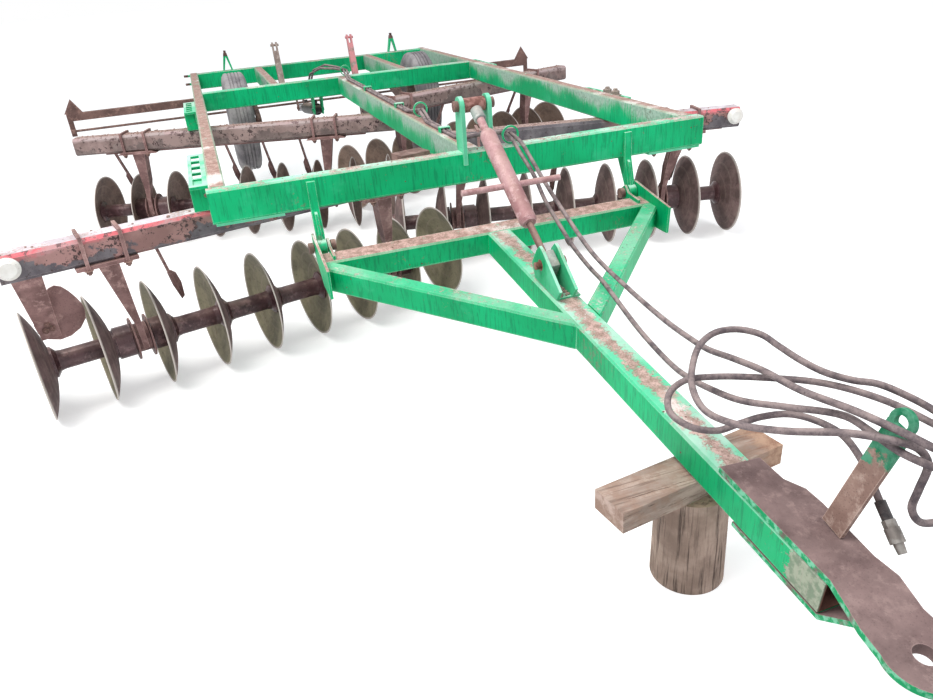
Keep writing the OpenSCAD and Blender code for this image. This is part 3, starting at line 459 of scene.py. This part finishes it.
def painted_beam(name, gravel, shades, shelter=0.0):
    """Square gang beam: pale dusty top, paint left on the upper edge with chips, dark below.

    gravel is how much soil lies on top. shelter is how far the paint is gone and the soil thick between
    the centre tube and the right rail. shades are the dark lower face and its light patches, the paint
    and its light patches, and the paint and the chips of the upper edge.
    """
    f = Finish(name)
    under, under_light, skin, skin_light, edge_tint, edge_chip = shades
    x, _, z = f.split(f.place)
    height = (z - BEAM_LOW) / BEAM
    up = f.facing()[2]
    side_on = 1 - up.step(0.8, 0.9)
    outside = 1 - x.step(-0.1, 0.05) * (1 - x.step(1.18, 1.3)) * shelter
    fine = f.noise(60, 6, 0.7)
    chip = f.noise(34, 5, 0.72) * 0.7 + f.noise(7, 4) * 0.3
    dark = f.patches(f.noise(9, 5).step(0.35, 0.65), under, under_light)
    dark = f.mix(fine.step(0.56, 0.66) * 0.8, dark, srgb(62, 46, 44))
    paint = f.patches(f.noise(5, 5).step(0.4, 0.6), skin_light, skin)
    paint = f.mix(chip.step(0.54, 0.56), paint, srgb(74, 58, 58))
    share = (height * 0.9 + (f.noise(4.2, 4) - 0.5) * 3.4 + (chip - 0.5) * 1.2).step(0.16, 0.26)
    colour = f.mix(share * outside, dark, paint)
    lip = f.patches(chip.step(0.54, 0.57), edge_tint, edge_chip)
    lip = f.mix((f.noise(4.2, 6, 0.7) * 0.7 + fine * 0.3).step(0.46, 0.56) * 0.75, lip, srgb(178, 150, 150))
    lip = f.mix((f.noise(15, 5, 0.7) * 0.7 + chip * 0.3).step(0.55, 0.58) * 0.8, lip, srgb(98, 74, 76))
    strip = up.step(0.3, 0.6) * side_on
    upper = (height + (f.noise(9, 5) - 0.5) * 0.5).step(0.72, 0.86) * side_on * f.noise(3.4, 4).step(0.42, 0.5)
    colour = f.mix((strip * 0.95 + upper * 0.7).limit() * outside, colour, lip)
    pale = f.patches(f.noise(8, 5).step(0.35, 0.65), (190, 180, 186), (222, 214, 220))
    ground = f.patches(fine.step(0.42, 0.6), (126, 100, 94), (186, 160, 152))
    cover = f.noise(4.5, 6, 0.68) * 0.5 + fine * 0.5 + (1 - outside) * 0.2
    cover = cover.step(0.5 - 0.2 * gravel, 0.6 - 0.16 * gravel)
    colour = f.mix(up.step(0.8, 0.92), colour, f.mix(cover, pale, ground))
    # paler along the edges: worn paint, and a painted highlight on the rounded edges
    colour = f.mix(f.edges(0.004) * 0.5, colour, srgb(206, 190, 192))
    f.set(Base_Color=colour, Roughness=(0.55 + fine * 0.3).limit(), Specular_IOR_Level=0.35)
    f.bump(fine * 0.4 + chip.step(0.54, 0.56) * -0.3 + cover * 0.4, 0.45, 0.004)
    return f


def blade(name, centre, axis, hollow, back):
    """Dished blade: plum rust, dust on the hollow side, rings of wear and a bright worn rim."""
    f = Finish(name)
    out = f.vector("SUBTRACT", f.place, tuple(centre))
    radius = f.vector("LENGTH", f.vector("CROSS_PRODUCT", out, tuple(axis)), out="Value")
    side = f.vector("DOT_PRODUCT", f.normal(), tuple(axis), out="Value")
    fine = f.noise(55, 6, 0.72)
    blot = f.noise(7, 6, 0.68)
    rust = f.patches(blot.step(0.38, 0.62), back, [c * 1.28 + 12 for c in back])
    dusty = f.patches(blot.step(0.36, 0.6), hollow, [c * 1.2 + 10 for c in hollow])
    colour = f.mix(side.step(-0.1, 0.25), rust, dusty)
    colour = f.mix(fine.step(0.55, 0.68) * 0.6, colour, srgb(64, 46, 42))
    ring_place = f.node("ShaderNodeCombineXYZ", X=radius * 60, Y=f.split(out)[2] * 4, Z=0.0)
    rings = f.noise(1.0, 3, 0.6, place=ring_place)
    colour = f.mix(rings.step(0.5, 0.72) * 0.35, colour, srgb(168, 150, 140))
    rim = (radius + (fine - 0.5) * 0.010).step(0.264, 0.277)
    colour = f.mix(rim * 0.85, colour, srgb(204, 194, 188))
    f.set(Base_Color=colour, Roughness=(0.62 - rim * 0.22 + fine * 0.15).limit(), Metallic=0.2)
    f.bump(fine * 0.5 + rings * 0.5, 0.3, 0.002)
    return f


def rubber(name):
    f = Finish(name)
    fine = f.noise(90, 6, 0.7)
    colour = f.patches(f.noise(6, 5).step(0.35, 0.65), (116, 112, 116), (160, 155, 156))
    colour = f.mix(fine.step(0.55, 0.7) * 0.6, colour, srgb(82, 78, 80))
    f.set(Base_Color=colour, Roughness=0.9)
    f.bump(fine, 0.3, 0.002)
    return f


def sawn_timber(name):
    """Weathered timber with grain, cracks, pale sawn ends and a broken corner at its right end."""
    f = Finish(name)
    grain = f.noise(1.0, 7, 0.7, stretch=(4, 90, 90))
    rings = f.noise(1.0, 4, 0.6, stretch=(1.5, 26, 26))
    cracks = f.noise(1.0, 6, 0.7, stretch=(2.2, 60, 60))
    blot = f.noise(16, 6, 0.7)
    colour = f.patches(rings.step(0.35, 0.65), (150, 130, 120), (188, 166, 154))
    colour = f.mix(blot.step(0.42, 0.6) * 0.6, colour, srgb(152, 120, 104))
    colour = f.mix(grain.step(0.52, 0.64) * 0.6, colour, srgb(104, 86, 76))
    colour = f.mix(cracks.step(0.6, 0.63) * 0.8, colour, srgb(76, 60, 52))
    broken = (f.split(f.place)[0] + (grain - 0.5) * 0.2).step(0.2, 0.28)
    colour = f.mix(broken * 0.8, colour, f.patches(blot.step(0.4, 0.6), (146, 104, 82), (192, 156, 132)))
    ends = abs(f.facing()[0]).step(0.8, 0.95)
    colour = f.mix(ends * 0.7, colour, f.patches(blot.step(0.4, 0.6), (196, 172, 160), (150, 124, 110)))
    f.set(Base_Color=colour, Roughness=0.85, Specular_IOR_Level=0.3)
    f.bump(grain * 0.7 + blot * 0.5, 0.7, 0.006)
    return f


def bark(name):
    f = Finish(name)
    up = f.facing()[2].step(0.7, 0.9)
    crack = f.noise(1.0, 7, 0.7, stretch=(60, 60, 2.2))
    hair = f.noise(1.0, 5, 0.7, stretch=(120, 120, 5))
    colour = f.patches(f.noise(7, 5).step(0.35, 0.65), (138, 118, 106), (176, 154, 140))
    colour = f.mix(hair.step(0.5, 0.62) * 0.5, colour, srgb(96, 80, 72))
    colour = f.mix(crack.step(0.59, 0.63) * 0.8, colour, srgb(82, 66, 58))
    colour = f.mix(up, colour, srgb(150, 130, 112))
    f.set(Base_Color=colour, Roughness=0.9, Specular_IOR_Level=0.3)
    f.bump(hair * 0.4 - crack.step(0.54, 0.64) * 0.8, 0.8, 0.010)
    return f


def hose_cover(name):
    f = Finish(name)
    fine = f.noise(170, 5, 0.7)
    colour = f.patches(f.noise(24, 6, 0.68).step(0.36, 0.62), (88, 78, 82), (134, 120, 120))
    colour = f.mix(fine.step(0.52, 0.66) * 0.6, colour, srgb(60, 52, 54))
    dust = f.facing()[2].step(0.1, 0.9) * f.noise(13, 5).step(0.4, 0.6)
    colour = f.mix(dust * 0.55, colour, srgb(176, 158, 154))
    f.set(Base_Color=colour, Roughness=0.75, Specular_IOR_Level=0.35)
    f.bump(f.noise(320, 3) * 0.6 + fine * 0.4, 0.35, 0.001)
    return f


def bright_metal(name, tint, rough=0.32, grime=0.35):
    f = Finish(name)
    fine = f.noise(80, 6, 0.7)
    colour = f.patches(f.noise(20, 5).step(0.45, 0.62) * grime, tint, (96, 80, 70))
    f.set(Base_Color=colour, Roughness=(fine * 0.3 + rough - 0.1).limit(), Metallic=0.85)
    f.bump(fine, 0.15, 0.001)
    return f


def chalky_white(name):
    f = Finish(name)
    fine = f.noise(60, 5, 0.7)
    colour = f.patches(f.noise(9, 5).step(0.4, 0.66) * 0.5, (232, 230, 226), (198, 190, 180))
    colour = f.mix((f.cells(60) < 0.13) * 0.6, colour, srgb(150, 132, 118))
    f.set(Base_Color=colour, Roughness=0.6)
    f.bump(fine, 0.15, 0.001)
    return f


def coupler(name, metal, start, way, sleeve):
    """Worn coupler steel past the black sleeve at the hose's end."""
    f = Finish(name)
    fine = f.noise(80, 6, 0.7)
    out = f.vector("DOT_PRODUCT", f.vector("SUBTRACT", f.place, tuple(start)), tuple(way), out="Value")
    steel = f.patches(f.noise(30, 5).step(0.42, 0.6) * 0.5, metal, (92, 80, 74))
    bare = out > sleeve
    colour = f.mix(bare, f.patches(fine.step(0.4, 0.6), (44, 40, 42), (74, 66, 66)), steel)
    f.set(Base_Color=colour, Roughness=(fine * 0.3 + 0.35).limit(), Metallic=bare * 0.8)
    f.bump(fine, 0.2, 0.001)
    return f


def wear(finish, *nodes):
    """Puts the finish in every slot of the part's nodes."""
    for node in nodes:
        mesh = frame["nodes"][node].data
        if not mesh.materials:
            mesh.materials.append(finish.material)
        for k in range(len(mesh.materials)):
            mesh.materials[k] = finish.material


# green tubes and plates
CLAY = (190, 170, 160)   # light tint of the soil on plates
wear(green_paint("frame green", 1.0, 0.475, (204, 180, 172)), "crossbars")
wear(green_paint("rail green", 1.0, 0.38, (188, 160, 150), side_fade=0.9), "side_rails", "centre_tubes")
wear(green_paint("cross tube green", 1.0, 0.36, (206, 170, 162), 0.15), "cross_tube")
wear(green_paint("brace green", 0.8, 0.51, (214, 190, 184), 0.3, top_fade_and_sunlight=0.3), "braces")
plate_green = green_paint("plate green", 0.5, 0.56, CLAY, 0.6)
wear(plate_green, "hinge_brackets", "hangers", "hose_rings", "shaft_blocks")
wear(green_paint("mast green", 0.3, 0.56, CLAY, 0.6, mint=0.8), "mast")

# rusty iron
brown = rusty("brown rust", (84, 62, 58), (116, 88, 82), (150, 118, 108))
arm_rust = rusty("standard rust", (104, 74, 72), (144, 110, 107), (176, 142, 137), 0.6, 0.35)
cast = rusty("cast iron", (64, 43, 46), (96, 68, 71), (132, 103, 104), 0.3, 0.25)
wheel_paint = rusty("wheel paint", (136, 122, 114), (166, 152, 142), (190, 178, 168), 0.7, 0.5)
wear(brown, "mast_pin", "hinge_pins", "drag_bar", "rockshaft", "wheel_arms", "screw_rod")
wear(arm_rust, "front_standards", "rear_standards", "furrow_blade", "scraper_arms", "scraper_bars")
wear(cast, "spools_fl", "spools_fr", "spools_rl", "spools_rr")
wear(wheel_paint, "rim_left", "rim_right")
wear(rusty("oily paint", (40, 38, 38), (62, 58, 56), (96, 84, 78), 0.5, 0.6), "cylinder_barrel")

# corner plates are pale, the box bracket behind them is bare rust
plates = green_paint("corner plates", 0.5, 0.5, CLAY, 0.9, mint=0.9)
behind = plates.split(plates.place)[1] > at(0, 300).y
plates.over(behind, plates.patches(plates.noise(14, 5).step(0.4, 0.6), (112, 86, 80), (146, 118, 110)))
wear(plates, "mount_plates")

# the ends of the clevis pin are bare rust, in a round patch of about 24 mm radius
clevis = green_paint("clevis green", 0.5, 0.5, CLAY, 0.8, mint=0.6)
_, y, z = clevis.split(clevis.place)
y, z = y - CLEVIS.y, z - CLEVIS.z
round_pin = (y * y + z * z + (clevis.noise(60, 4) - 0.5) * 0.0003) < 0.0006
clevis.over(round_pin, clevis.patches(clevis.noise(50, 5).step(0.4, 0.6), (108, 70, 60), (156, 112, 102)))
wear(clevis, "screw_clevis")

# the blocks on the rear brackets and the fork beside the left rail are brown
brackets = green_paint("rear bracket green", 0.5, 0.56, CLAY, 0.6)
x, _, z = brackets.split(brackets.place)
capped = z + (brackets.noise(20, 4) - 0.5) * 0.04 > TOP_Z + 0.135
forked = x < -(RAIL_X + 20) / 1000
block_brown = brackets.patches(brackets.noise(24, 5).step(0.4, 0.6), (70, 50, 46), (118, 90, 84))
brackets.over((capped + forked).limit(), block_brown)
wear(brackets, "rear_brackets")

# the tongue's open end is faded outside and rusty inside; 0.055 and 0.053 m reach to the tube's walls
TONGUE_BACK = -2340       # where the fading starts, in the source's mm
tongue = green_paint("tongue green", 0.95, 0.47, (206, 172, 164), 0.15, (TONGUE_X, 0.055))
x, y, z = tongue.split(tongue.place)
off = x - TONGUE_X
axis_height = HINGE.z - 0.07 / math.cos(PITCH) - HINGE.y * math.tan(PITCH)
off_axis = z - axis_height - y * math.tan(PITCH)
hollow = (abs(off) < 0.055) * (abs(off_axis) < 0.053)
faded = (y + (tongue.noise(14, 6, 0.7) - 0.5) * 0.22 < at(0, TONGUE_BACK).y) * (off < -0.055)
tongue.over(faded * 0.85, tongue.patches(tongue.noise(50, 5).step(0.4, 0.6), (128, 128, 114), (168, 162, 148)))
tongue.over(hollow, srgb(132, 96, 84))
wear(tongue, "tongue")

# the hitch plate is dusty brown above and green on its cut edges, bare round the eye
plate = rusty("dusty plate", (102, 82, 81), (128, 105, 103), (148, 125, 121), 0.8, 0.35, 1.3, (164, 140, 136))
from_eye = plate.vector("LENGTH", plate.vector("SUBTRACT", plate.place, EYE), out="Value")
cut_edge = (1 - abs(plate.facing()[2]).step(0.5, 0.8)) * (from_eye > 0.05)
edge_green = plate.patches(plate.noise(40, 5).step(0.45, 0.6), (0, 150, 92), (120, 196, 160))
plate.over(cut_edge * plate.noise(18, 5).step(0.32, 0.5), edge_green)
wear(plate, "hitch_plate")

# the hose stand is beige rust below with green left round its ring
RING_LOW = 0.755
stand = rusty("stand rust", (136, 108, 98), (168, 140, 128), (190, 166, 154), 0.75, 0.4, 1.2)
z = stand.split(stand.place)[2]
upper = (z + (stand.noise(24, 5) - 0.5) * 0.08) > RING_LOW
green_left = (stand.noise(16, 5, 0.7) + (z - RING_LOW) * 1.5).step(0.42, 0.5)
stand.over(upper * green_left, stand.patches(stand.noise(20, 5).step(0.4, 0.6), (24, 122, 84), (84, 156, 124)))
wear(stand, "hose_stand")

# the left tall arm is grey, the right one has pink paint left
arms = rusty("tall arm rust", (128, 112, 106), (164, 148, 140), (190, 174, 166), 0.7, 0.3, 1.2)
right_arm = arms.split(arms.place)[0] > 0
arms.over(right_arm * arms.noise(9, 5).step(0.36, 0.5), srgb(206, 138, 142))
wear(arms, "tall_arms")

# the screw's barrel is pink, its tube at the mast pin brown, up to 36 mm from the pin's middle
barrel = rusty("pink rust", (150, 106, 108), (186, 146, 148), (206, 172, 172), 0.55, 0.4, 1.4)
_, y, z = barrel.split(barrel.place)
y, z = y - MAST_PIN.y, z - MAST_PIN.z
tube_brown = barrel.patches(barrel.noise(40, 5).step(0.4, 0.6), (112, 72, 64), (158, 114, 106))
barrel.over(y * y + z * z < 0.0013, tube_brown)
wear(barrel, "screw_barrel")

# gangs: red paint is left on the front beams, the rear ones are bare under gravel
FRONT_SHADES = ((84, 78, 84), (116, 110, 114), (162, 124, 120), (136, 102, 98), (212, 106, 114), (112, 80, 82))
REAR_SHADES = ((98, 84, 82), (128, 112, 108), (148, 126, 122), (122, 102, 98), (168, 152, 150), (112, 94, 92))
wear(painted_beam("front beam paint", 0.0, FRONT_SHADES, shelter=1.0), "front_beams")
wear(painted_beam("rear beam paint", 1.0, REAR_SHADES), "rear_beams")
for corner, child, toward, dust, tint in (  # toward is the side of the axis that the hollow faces
    ("fl", "gang_front_left", -1, (104, 98, 76), (82, 64, 64)),
    ("fr", "gang_front_right", 1, (112, 92, 80), (88, 70, 68)),
    ("rl", "gang_rear_left", 1, (104, 84, 76), (86, 68, 66)),
    ("rr", "gang_rear_right", -1, (112, 92, 80), (88, 70, 68)),
):
    joint = next(j for j in frame["record"]["behaviour"]["joints"] if j["child"] == child)
    hollow_way = [toward * c for c in joint["axis"]]
    wear(blade("blade " + corner, joint["pos_m"], hollow_way, dust, tint), "discs_" + corner)

# wheels, cylinder rod, lamps, the timber, the stump and the hoses
for side in ("left", "right"):
    wear(rubber("rubber " + side), "tyre_" + side)
wear(bright_metal("dull chrome", (176, 176, 180)), "cylinder_rod")
wear(chalky_white("lamp white"), "end_lamps")
wear(sawn_timber("timber"), "stand_timber")
wear(bark("bark"), "stand_stump")
SLEEVE = 0.048   # length of the black sleeve before a coupler's steel
for node, route in (("hose_a_end", ROUTE_A), ("hose_b_end", ROUTE_B)):
    start, before = at(*route[-1]), at(*route[-2])
    way = (start - before).normalized()
    wear(coupler(node.replace("_", " "), (150, 146, 142), start, way, SLEEVE), node)
cover = hose_cover("dusty hose")
wear(cover, "hose_lines")
for piece in (hose_left, hose_right):
    piece.data.materials.append(cover.material)


# ---------------------------------------------------------------- modelling, step by step
def alone(*pieces):
    """Leaves only these pieces selected, the first active."""
    if bpy.context.object and bpy.context.object.mode != "OBJECT":
        bpy.ops.object.mode_set(mode="OBJECT")
    bpy.ops.object.select_all(action="DESELECT")
    for piece in pieces:
        piece.select_set(True)
    if pieces:
        bpy.context.view_layer.objects.active = pieces[0]


def begin(piece):
    """Opens the piece for editing by its faces, with none selected."""
    alone(piece)
    bpy.ops.object.mode_set(mode="EDIT")
    bpy.ops.mesh.select_all(action="DESELECT")
    bpy.ops.mesh.select_mode(type="FACE")


def pick(piece, test):
    """Selects the faces whose middle and normal pass the test."""
    shape = bmesh.from_edit_mesh(piece.data)
    turn = piece.matrix_world.to_3x3()
    for face in shape.faces:
        face.select_set(bool(test(piece.matrix_world @ face.calc_center_median(), turn @ face.normal)))
    shape.select_flush_mode()
    bmesh.update_edit_mesh(piece.data)


def push(*way):
    """Extrudes the selected faces by this much."""
    bpy.ops.mesh.extrude_region_move(TRANSFORM_OT_translate={"value": way})


def cylinder(vertices, radius, depth, place, turn=(0, 0, 0)):
    """A new round bar, alone in the selection."""
    alone()
    bpy.ops.mesh.primitive_cylinder_add(
        vertices=vertices, radius=radius, depth=depth, location=place, rotation=turn)
    return bpy.context.object


def settle(piece, name, body, finish):
    """Puts the piece's place in its mesh, names it and lets it ride."""
    alone(piece)
    bpy.ops.object.transform_apply(location=True, rotation=True, scale=True)
    bpy.ops.object.shade_smooth_by_angle(angle=math.radians(35))
    piece.name = name
    piece.data.materials.clear()
    piece.data.materials.append(finish.material)
    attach(piece, body)
    return piece


def spread(model, name, spots, body, finish):
    """Copies the model to each spot (place, way its top faces, size), as one piece."""
    copies = []
    for place, facing, size in spots:
        twin = model.copy()
        twin.data = model.data.copy()
        turned = Vector(facing).to_track_quat("Z", "Y").to_matrix().to_4x4()
        twin.data.transform(Matrix.Translation(place) @ turned @ Matrix.Scale(size, 4))
        scene.collection.objects.link(twin)
        copies.append(twin)
    alone(*copies)
    if len(copies) > 1:
        bpy.ops.object.join()
    return settle(bpy.context.view_layer.objects.active, name, body, finish)


# ---------------------------------------------------------------- bolts and nuts
def hex_head():
    """A bolt's head on its washer, with the thread's end, 10 mm from its middle to its corners."""
    piece = cylinder(6, 0.010, 0.008, (0, 0, 0.006))
    begin(piece)
    pick(piece, lambda place, normal: normal.z > 0.9)
    bpy.ops.mesh.inset(thickness=0.0014)
    bpy.ops.transform.translate(value=(0, 0, 0.0008))
    bpy.ops.mesh.inset(thickness=0.0026)
    push(0, 0, 0.004)
    bpy.ops.mesh.inset(thickness=0.0008)
    bpy.ops.transform.translate(value=(0, 0, 0.0005))
    pick(piece, lambda place, normal: normal.z < -0.9)
    push(0, 0, 0)
    bpy.ops.transform.resize(value=(1.45, 1.45, 1))
    push(0, 0, -0.002)
    alone(piece)
    bpy.ops.object.transform_apply(location=True)
    return piece


UP, DOWN = (0, 0, 1), (0, 0, -1)
bolt = hex_head()

# under the clamp plates of the standards, four to a clamp
CLAMP_LOW = -297
nuts = [
    (on_gang(gang, u + e, v, CLAMP_LOW), DOWN, 1.5)
    for gang, (_, _, _, clamps) in GANGS.items() for u in clamps for e in (-86, 86) for v in (-73.5, 73.5)
]
spread(bolt, "clamp_nuts", nuts, "frame", brown)

# along the side boxes, given by side, start and end on the rail, and under the front tube's corner plates
BOX_MARGIN, BOX_SPACING = 50, 110
PLATE_X = 1119
plate_bolts = []
for side, start, end in ((-1, 220, 1007), (1, 877, 1457), (-1, 2638, 3204), (1, 3228, 3788)):
    count = int((end - start) / BOX_SPACING)
    for k in range(count):
        y = start + BOX_MARGIN + k * (end - start - 2 * BOX_MARGIN) / (count - 1)
        plate_bolts.append((at(side * (RAIL_X + 12), y, -78), (side, 0, 0), 1.1))
for side in (-1, 1):
    for dx, y in ((-110, 30), (-110, 110), (110, 30), (110, 110)):
        plate_bolts.append((at(side * PLATE_X + dx, y, -164), DOWN, 1.2))
spread(bolt, "plate_bolts", plate_bolts, "frame", brown)

# two large ones beside the right rail
rail_bolts = [(at(RAIL_X + 46, y, -20), UP, 2.8) for y in (1008, 1112)]
spread(bolt, "rail_bolts", rail_bolts, "frame", wheel_paint)

# six to a wheel, on a circle of 84 mm radius
LUG_CIRCLE = 84
for side, label in ((-1, "left"), (1, "right")):
    lugs = []
    for k in range(6):
        turn = math.radians(60 * k)
        y, z = WHEEL[1] + LUG_CIRCLE * math.cos(turn), WHEEL[2] + LUG_CIRCLE * math.sin(turn)
        lugs.append((at(side * (WHEEL[0] + 12), y, z), (side, 0, 0), 1.3))
    spread(bolt, "lug_nuts_" + label, lugs, "wheel_" + label, brown)

# three on the furrow blade, facing forward with it
blade_bolts = [
    (on_gang("front_left", 858 + dx, 117, z), (-0.24, -0.97, 0), 1.2)
    for dx, z in ((-14, -585), (16, -590), (0, -560))
]
spread(bolt, "furrow_bolts", blade_bolts, "frame", brown)
bpy.data.objects.remove(bolt)


# ---------------------------------------------------------------- soil on beams, front tube and tongue
def crumb():
    """A lump of dry soil, 10 mm in radius, flatter below."""
    alone()
    bpy.ops.mesh.primitive_ico_sphere_add(subdivisions=1, radius=0.010, location=(0, 0, 0))
    piece = bpy.context.object
    begin(piece)
    pick(piece, lambda place, normal: normal.z > 0.3 and normal.x > 0)
    bpy.ops.transform.resize(value=(1.25, 0.8, 0.7))
    pick(piece, lambda place, normal: normal.z < -0.3)
    bpy.ops.transform.resize(value=(1.15, 1.1, 0.6))
    alone(piece)
    return piece


def tilted(lean):
    """A way up that leans by chance."""
    return dice.uniform(-lean, lean), dice.uniform(-lean, lean), 1


dice = random.Random(11)
lump = crumb()
BEAM_EDGE = 46   # crumbs keep this near to a beam's middle
crumbs = []
for gang, count, low, high in (  # beam, crumbs on it, and where they lie along it
    ("rear_left", 210, -1460, 950),
    ("rear_right", 130, -1280, 950),
    ("front_left", 34, -1280, 960),
    ("front_right", 30, -1280, 840),
):
    for k in range(count):
        u = dice.uniform(low, high)
        v = max(-BEAM_EDGE, min(BEAM_EDGE, dice.gauss(0, 26)))
        crumbs.append((on_gang(gang, u, v, -151), tilted(0.3), dice.uniform(0.25, 0.85)))
for k in range(90):
    place = at(dice.uniform(-1250, 1250), dice.uniform(10, 66), 0.5)
    crumbs.append((place, tilted(0.3), dice.uniform(0.12, 0.42)))
soil = rusty("dry soil", (112, 88, 82), (142, 116, 108), (178, 152, 142), 0.9, 0.6, 1.6, (184, 158, 148))
spread(lump, "soil_crumbs", crumbs, "frame", soil)
dropped = []
for k in range(60):
    place = on_bar(dice.uniform(-18, 26), dice.uniform(-898, -800), -4)
    dropped.append((place, tilted(0.4), dice.uniform(0.4, 1.1)))
spread(lump, "clevis_crumbs", dropped, "drawbar", soil)
bpy.data.objects.remove(lump)

# ---------------------------------------------------------------- the levelling screw's two ends
end_steel = rusty("worn end steel", (134, 142, 138), (170, 178, 174), (204, 204, 198), 0.6, 0.3, 1.5)
screw_way = (CLEVIS - MAST_PIN - Vector((0.004, 0, 0))).normalized()
screw_turn = screw_way.to_track_quat("Z", "X").to_euler()

# a worn collar below the mast pin
collar = cylinder(32, 0.029, 0.07, MAST_PIN + screw_way * 0.072, screw_turn)
begin(collar)
pick(collar, lambda place, normal: abs(normal.dot(screw_way)) > 0.9)
bpy.ops.mesh.bevel(offset=0.006, segments=3)
settle(collar, "rod_collar", "screw_upper", end_steel)

# the square block on the clevis pin: high, wide and long
alone()
bpy.ops.mesh.primitive_cube_add(size=1, location=CLEVIS, rotation=screw_turn)
block = bpy.context.object
block.scale = (0.074, 0.054, 0.086)
bpy.ops.object.transform_apply(location=False, rotation=False, scale=True)
begin(block)
bpy.ops.mesh.select_all(action="SELECT")
bpy.ops.mesh.bevel(offset=0.005, segments=3)
bore = cylinder(32, 0.018, 0.08, CLEVIS, (0, math.pi / 2, 0))
alone(block)
cut = block.modifiers.new("bore", "BOOLEAN")
cut.operation = "DIFFERENCE"
cut.object = bore
bpy.ops.object.modifier_apply(modifier="bore")
bpy.data.objects.remove(bore)
settle(block, "rod_end_block", "screw_lower", end_steel)

# ---------------------------------------------------------------- tyres
TREAD_HALF = 0.068   # from the tyre's middle to the edge of its drum
GROOVE_CUTS = (-50, -40, -22, -12, 12, 22, 40, 50)   # mm from the tyre's middle
GROOVES = (-45, -17, 17, 45)
GROOVE_DEEP = 0.009
WALL = (  # the wall's rings from the tread to the rim: radius, distance from the tyre's middle
    (0.443, 0.083), (0.428, 0.094), (0.425, 0.094), (0.420, 0.099), (0.390, 0.108), (0.340, 0.112),
    (0.336, 0.110), (0.331, 0.112), (0.280, 0.101), (0.229, 0.084), (0.2215, 0.071), (0.2055, 0.066),
)


def ribbed_tyre(side, label):
    """A ribbed implement tyre: a drum cut into ribs, its walls drawn in ring by ring to the rim."""
    centre = at(side * WHEEL[0], WHEEL[1], WHEEL[2])
    piece = cylinder(72, TYRE_R, 2 * TREAD_HALF, centre, (0, math.pi / 2, 0))
    begin(piece)
    for cut in GROOVE_CUTS:
        bpy.ops.mesh.select_all(action="SELECT")
        bpy.ops.mesh.bisect(plane_co=centre + Vector((cut / 1000, 0, 0)), plane_no=(1, 0, 0))
    for middle in GROOVES:
        x = centre.x + middle / 1000
        pick(piece, lambda place, normal: abs(place.x - x) < 0.0045 and abs(normal.x) < 0.5)
        bpy.ops.mesh.extrude_region_shrink_fatten(TRANSFORM_OT_shrink_fatten={"value": -GROOVE_DEEP})
    for way in (-1, 1):
        radius, out = TYRE_R, TREAD_HALF
        pick(piece, lambda place, normal: (
            normal.x * way > 0.9 and abs(place.x - centre.x - way * TREAD_HALF) < 0.001))
        for next_radius, next_out in WALL:
            push(way * (next_out - out), 0, 0)
            bpy.ops.transform.resize(value=(1, next_radius / radius, next_radius / radius))
            radius, out = next_radius, next_out
    # the two middles are taken out and the holes' edges joined
    pick(piece, lambda place, normal: abs(normal.x) > 0.9 and (place - centre).length < 0.08)
    bpy.ops.mesh.delete(type="FACE")
    bpy.ops.mesh.select_mode(type="EDGE")
    bpy.ops.mesh.select_non_manifold()
    bpy.ops.mesh.bridge_edge_loops()
    bpy.ops.mesh.select_all(action="SELECT")
    bpy.ops.mesh.normals_make_consistent(inside=False)
    settle(piece, "ribbed_tyre_" + label, "wheel_" + label, rubber("tyre " + label))
    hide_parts("tyre_" + label)


ribbed_tyre(-1, "left")
ribbed_tyre(1, "right")
